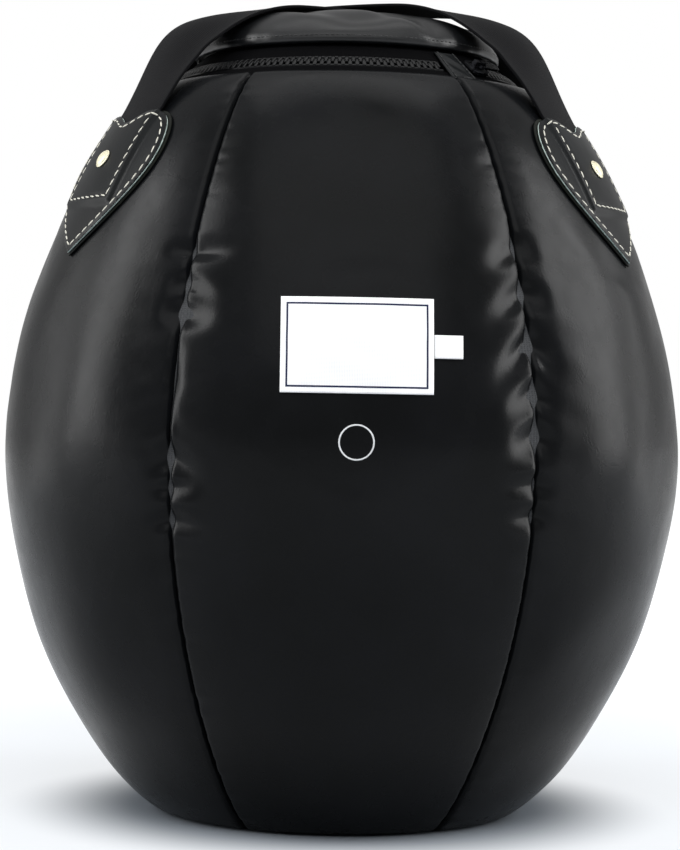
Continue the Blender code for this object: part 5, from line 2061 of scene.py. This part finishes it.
@dataclass
class Labels:
    """The woven label, the small tab beside it and a plain printed ring under it."""

    width: float = 0.085
    length: float = 0.053
    height: float = 0.286
    tab_width: float = 0.017
    tab_length: float = 0.013
    thickness: float = 0.0007
    gap: float = 0.0005
    ring_height: float = 0.233
    ring_radius: float = 0.0100
    ring_width: float = 0.0009
    ring_cells: int = 96
    ink_above: float = 0.00012
    ink: float = 0.0001
    # The cells that a label is cut into, the height of its ripples and that of its folded edge
    cell: float = 0.0012
    ripple: float = 0.00022
    folded: float = 0.0002

    def cloth(self, name: str, low: float, width: float, length: float, finish: Finish, node: str) -> Object:
        """Builds a label that stands for a CAD node: slightly rippled, with its edge folded under.

        Args:
            name: the piece's name.
            low: where its left edge lies across the gore.
            width: its width.
            length: its height.
            finish: its cloth.
            node: the CAD node.

        Returns:
            The piece.
        """
        columns, rows = max(9, round(width / self.cell)), max(9, round(length / self.cell))
        mesh, column, row = grid(name, columns, rows)
        across = low + width * column / (columns - 1)
        up = (row / (rows - 1) - 0.5) * length
        height = self.height + up
        edge = np.minimum(np.minimum(across - low, low + width - across), length / 2 - np.abs(up))
        ripple = self.ripple * np.sin(across / 0.0065 + 3 * np.sin(up / 0.012)) * np.sin(up / 0.0075 + 1.0)
        above = self.gap + ripple * smooth(edge / 0.006) + self.folded * smooth((0.0022 - edge) / 0.001)
        set_vertices(mesh, OUTLINE.point(across / OUTLINE.radius(height), height, above))
        map_surface(mesh, (across - low - width / 2) / MM, up / MM)
        piece = add_piece(name, mesh, (finish,), (node,))
        add_wall(piece, self.thickness, outside=True)
        add_round_edges(piece, 0.0002, segments=1, angle=60.0)
        return piece

    def ring(self) -> Object:
        """Builds the printed ring: a film of ink on the leather.

        Returns:
            The piece.
        """
        mesh, column, row = grid("printed_ring", self.ring_cells + 1, 4)
        turn = column / self.ring_cells * 2 * math.pi
        radius = self.ring_radius - self.ring_width * row / 3
        across, height = radius * np.sin(turn), self.ring_height + radius * np.cos(turn)
        set_vertices(mesh, OUTLINE.point(across / OUTLINE.radius(height), height, self.ink_above))
        bm = bmesh.new()
        bm.from_mesh(mesh)
        bmesh.ops.remove_doubles(bm, verts=bm.verts, dist=0.000005)
        bmesh.ops.recalc_face_normals(bm, faces=bm.faces)
        if sum(face.normal.y for face in bm.faces) > 0:
            bmesh.ops.reverse_faces(bm, faces=bm.faces)
        bm.to_mesh(mesh)
        bm.free()
        piece = add_piece("printed_ring", mesh, (PRINT_INK,))
        add_wall(piece, self.ink, outside=False)
        return piece

    def build(self) -> list[Object]:
        """Builds the labels and the ring.

        Returns:
            The pieces.
        """
        tab_low = self.width / 2 + 0.0003
        return [
            self.cloth("woven_label", -self.width / 2, self.width, self.length, WHITE_LABEL, "label"),
            self.cloth("woven_tab", tab_low, self.tab_width, self.tab_length, TAB_LABEL, "label_tab"),
            self.ring(),
        ]


# ---------------------------------------- the scene


@dataclass(frozen=True)
class SoftLamp:
    """A soft area lamp: its place, the height on the bag's axis that it faces, its width, height and watts."""

    name: str
    place: tuple[float, float, float]
    aim_height: float
    size: tuple[float, float]
    watts: float
    # Whether glossy surfaces show it, which they don't where its light is polarised
    mirrored: bool = True

    def build(self) -> None:
        """Builds the lamp."""
        data = bpy.data.lights.new(self.name, "AREA")
        data.shape = "RECTANGLE"
        data.size, data.size_y = self.size
        data.energy = self.watts
        lamp = bpy.data.objects.new(self.name, data)
        bpy.context.scene.collection.objects.link(lamp)
        lamp.visible_camera = False
        lamp.visible_glossy = self.mirrored
        lamp.location = self.place
        away = Vector(self.place) - Vector((0, 0, self.aim_height))
        lamp.rotation_euler = away.to_track_quat("Z", "Y").to_euler()


LAMPS = (
    # The front gore's even grey, and the light on label, ring and patches
    SoftLamp("front_softbox", (0.0, -1.55, 2.05), 0.30, (3.0, 2.0), 26.0),
    SoftLamp("front_fill", (0.0, -1.75, 1.90), 0.30, (2.0, 1.5), 34.0, mirrored=False),
    # The pale sheets on the lid
    SoftLamp("top_softbox", (0.0, 0.10, 1.9), 0.45, (1.6, 0.7), 5.5),
    # The glow down each side gore, and the shine that stops at the creases
    SoftLamp("left_softbox", (-2.22, -0.06, 1.10), 0.25, (0.9, 2.1), 45.0),
    SoftLamp("right_softbox", (2.22, -0.06, 1.10), 0.25, (0.9, 2.1), 45.0),
    # The rims, told apart from the background
    SoftLamp("left_strip", (-1.9, 0.75, 0.55), 0.22, (0.6, 1.5), 5.0),
    SoftLamp("right_strip", (1.9, 0.75, 0.55), 0.22, (0.6, 1.5), 5.0),
)


@dataclass
class Studio:
    """A pale floor, soft lamps and the camera at the photograph's angle."""

    distance: float = 1.512
    height: float = 0.250
    azimuth: float = math.radians(-2.4)
    focal_px: float = 2381.0
    image_px: tuple[int, int] = (680, 850)
    horizon_px: float = 411.0
    axis_px: float = 340.5
    roll: float = math.radians(1.0)
    floor_paint: str = "#80868d"
    # Where each of the floor's two rings of light starts and ends, in metres from the axis, and its strength. The inner
    # ring gives no glow next to the base, which paints a dark shadow round the bag
    floor_glows_and_painted_shadow: tuple[tuple[float, float, float], ...] = ((0.120, 0.215, 0.68), (0.30, 1.3, 0.34))
    fill: float = 0.30
    # How much darker than the white backdrop the room is that glossy surfaces show
    room_shade: float = 0.48

    def camera(self) -> None:
        """Makes the camera: level apart from a slight tilt and roll."""
        data = bpy.data.cameras.new("photo_camera")
        data.sensor_width = 36.0
        data.lens = self.focal_px / self.image_px[1] * data.sensor_width
        camera = bpy.data.objects.new("photo_camera", data)
        bpy.context.scene.collection.objects.link(camera)
        camera.location = Vector((
            self.distance * math.sin(self.azimuth), -self.distance * math.cos(self.azimuth), self.height,
        ))
        pitch = math.atan((self.image_px[1] / 2 - self.horizon_px) / self.focal_px)
        yaw = math.atan((self.axis_px - self.image_px[0] / 2) / self.focal_px)
        turn = Matrix.Rotation(self.azimuth + yaw, 4, "Z") @ Matrix.Rotation(math.pi / 2 - pitch, 4, "X")
        camera.rotation_euler = (turn @ Matrix.Rotation(self.roll, 4, "Z")).to_euler()
        bpy.context.scene.camera = camera

    def floor(self) -> None:
        """Makes the floor: matt and pale, and lit enough to meet the white background, with a painted shadow round the
        base where its glow is held back.
        """
        bm = bmesh.new()
        bmesh.ops.create_circle(bm, cap_ends=True, segments=96, radius=9.0)
        floor = bpy.data.objects.new("studio_floor", mesh_from(bm, "studio_floor"))
        floor.data.transform(Matrix.Translation((0, 0, -0.0004)))
        bpy.context.scene.collection.objects.link(floor)
        material = bpy.data.materials.new("painted_floor_matt")
        material.use_nodes = True
        tree = material.node_tree
        tree.nodes.clear()
        seen = self.seen_rays(tree)
        place = add_node(tree, "ShaderNodeTexCoord").outputs["Object"]
        away = add_node(tree, "ShaderNodeVectorMath", {"operation": "LENGTH"}, {0: place})
        # The inner ring is a painted shadow: no glow at the base, full glow by the belly's radius
        near, far = (
            add_node(tree, "ShaderNodeMapRange", {"interpolation_type": "SMOOTHSTEP"}, {
                "Value": away.outputs["Value"], "From Min": start, "From Max": end, "To Min": 0.0, "To Max": most,
            }) for start, end, most in self.floor_glows_and_painted_shadow
        )
        spread = add_node(tree, "ShaderNodeMath", {"operation": "ADD"}, {0: near.outputs[0], 1: far.outputs[0]})
        strength = add_node(tree, "ShaderNodeMath", {"operation": "MULTIPLY"}, {0: spread.outputs["Value"], 1: seen})
        paint = add_node(tree, "ShaderNodeBsdfDiffuse", inputs={"Color": linear(self.floor_paint)})
        glow = add_node(tree, "ShaderNodeEmission", inputs={
            "Color": linear("#ffffff"), "Strength": strength.outputs["Value"],
        })
        both = add_node(tree, "ShaderNodeAddShader", inputs={0: paint.outputs[0], 1: glow.outputs[0]})
        add_node(tree, "ShaderNodeOutputMaterial", inputs={"Surface": both.outputs[0]})
        floor.data.materials.append(material)

    @staticmethod
    def seen_rays(tree: NodeTree) -> NodeSocket:
        """Finds the rays that see the studio.

        Args:
            tree: the node tree.

        Returns:
            A socket that is 1 for camera, mirror and transmission rays, and 0 for the rest.
        """
        path = add_node(tree, "ShaderNodeLightPath")
        seen = path.outputs["Is Camera Ray"]
        for kind in ("Is Glossy Ray", "Is Transmission Ray"):
            seen = add_node(tree, "ShaderNodeMath", {"operation": "MAXIMUM"}, {
                0: seen, 1: path.outputs[kind],
            }).outputs["Value"]
        return seen

    def world(self) -> None:
        """Makes the world: white where the camera sees it, and plain grey light elsewhere."""
        world = bpy.data.worlds.new("studio_world")
        world.use_nodes = True
        bpy.context.scene.world = world
        tree = world.node_tree
        tree.nodes.clear()
        seen = self.seen_rays(tree)
        fill = add_node(tree, "ShaderNodeBackground", inputs={"Color": linear("#e6eaec"), "Strength": self.fill})
        glossy = add_node(tree, "ShaderNodeLightPath").outputs["Is Glossy Ray"]
        room = add_node(tree, "ShaderNodeMath", {"operation": "MULTIPLY_ADD"}, {
            0: glossy, 1: -self.room_shade, 2: 1.0,
        })
        white = add_node(tree, "ShaderNodeBackground", inputs={
            "Color": linear("#ffffff"), "Strength": room.outputs["Value"],
        })
        mix = add_node(tree, "ShaderNodeMixShader", inputs={"Fac": seen, 1: fill.outputs[0], 2: white.outputs[0]})
        add_node(tree, "ShaderNodeOutputWorld", inputs={"Surface": mix.outputs[0]})

    def build(self) -> None:
        """Builds the camera, the lamps, the floor and the world, and sets the view."""
        self.camera()
        for lamp in LAMPS:
            lamp.build()
        self.floor()
        self.world()
        bpy.context.scene.view_settings.view_transform = "Standard"


def finish_hardware(parts: dict[str, Object]) -> None:
    """Gives the CAD parts that stay their metal: the slider and its pull, and the rivets' inner caps.

    Args:
        parts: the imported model's nodes by name.
    """
    metal_edge = 0.00022
    hardware = [(node, SLIDER_BLACK, Slot.SLIDER) for node in ("zipper_slider", "zipper_pull")]
    hardware += [(f"rivet_cap_{corner}", RIVET_BRASS_AND_PAINTED_REFLECTION, Slot.RIVET) for corner in CORNERS]
    for node, finish, slot in hardware:
        part = parts[node]
        part.data.materials.clear()
        part.data.materials.append(finish.make())
        if slot is Slot.SLIDER:
            add_round_edges(part, metal_edge, segments=2, angle=35.0)


def main() -> None:
    """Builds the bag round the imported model, piece by piece."""
    logging.basicConfig(level=logging.INFO, format="%(message)s")
    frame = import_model()
    stages: tuple[tuple[str, Callable[[], object]], ...] = (
        ("cover", Cover().build),
        ("inside", Inside().build),
        ("top cover", TopCover().build),
        ("zipper", Zipper().build),
        ("lower strap", Strap("strap_lower", "front_left", 0.4985, 0.012, 1).build),
        ("upper strap", Strap("strap_upper", "front_right", 0.5011, 0.013, -1).build),
        *((f"patch {corner}", Patch(corner).build) for corner in CORNERS),
        ("labels", Labels().build),
        ("studio", Studio().build),
    )
    for name, build in stages:
        made = build()
        count = len(made) if isinstance(made, list) else 1
        LOG.info("%s: %d pieces", name, count)
    finish_hardware(frame["nodes"])


if __name__ == "__main__":
    main()
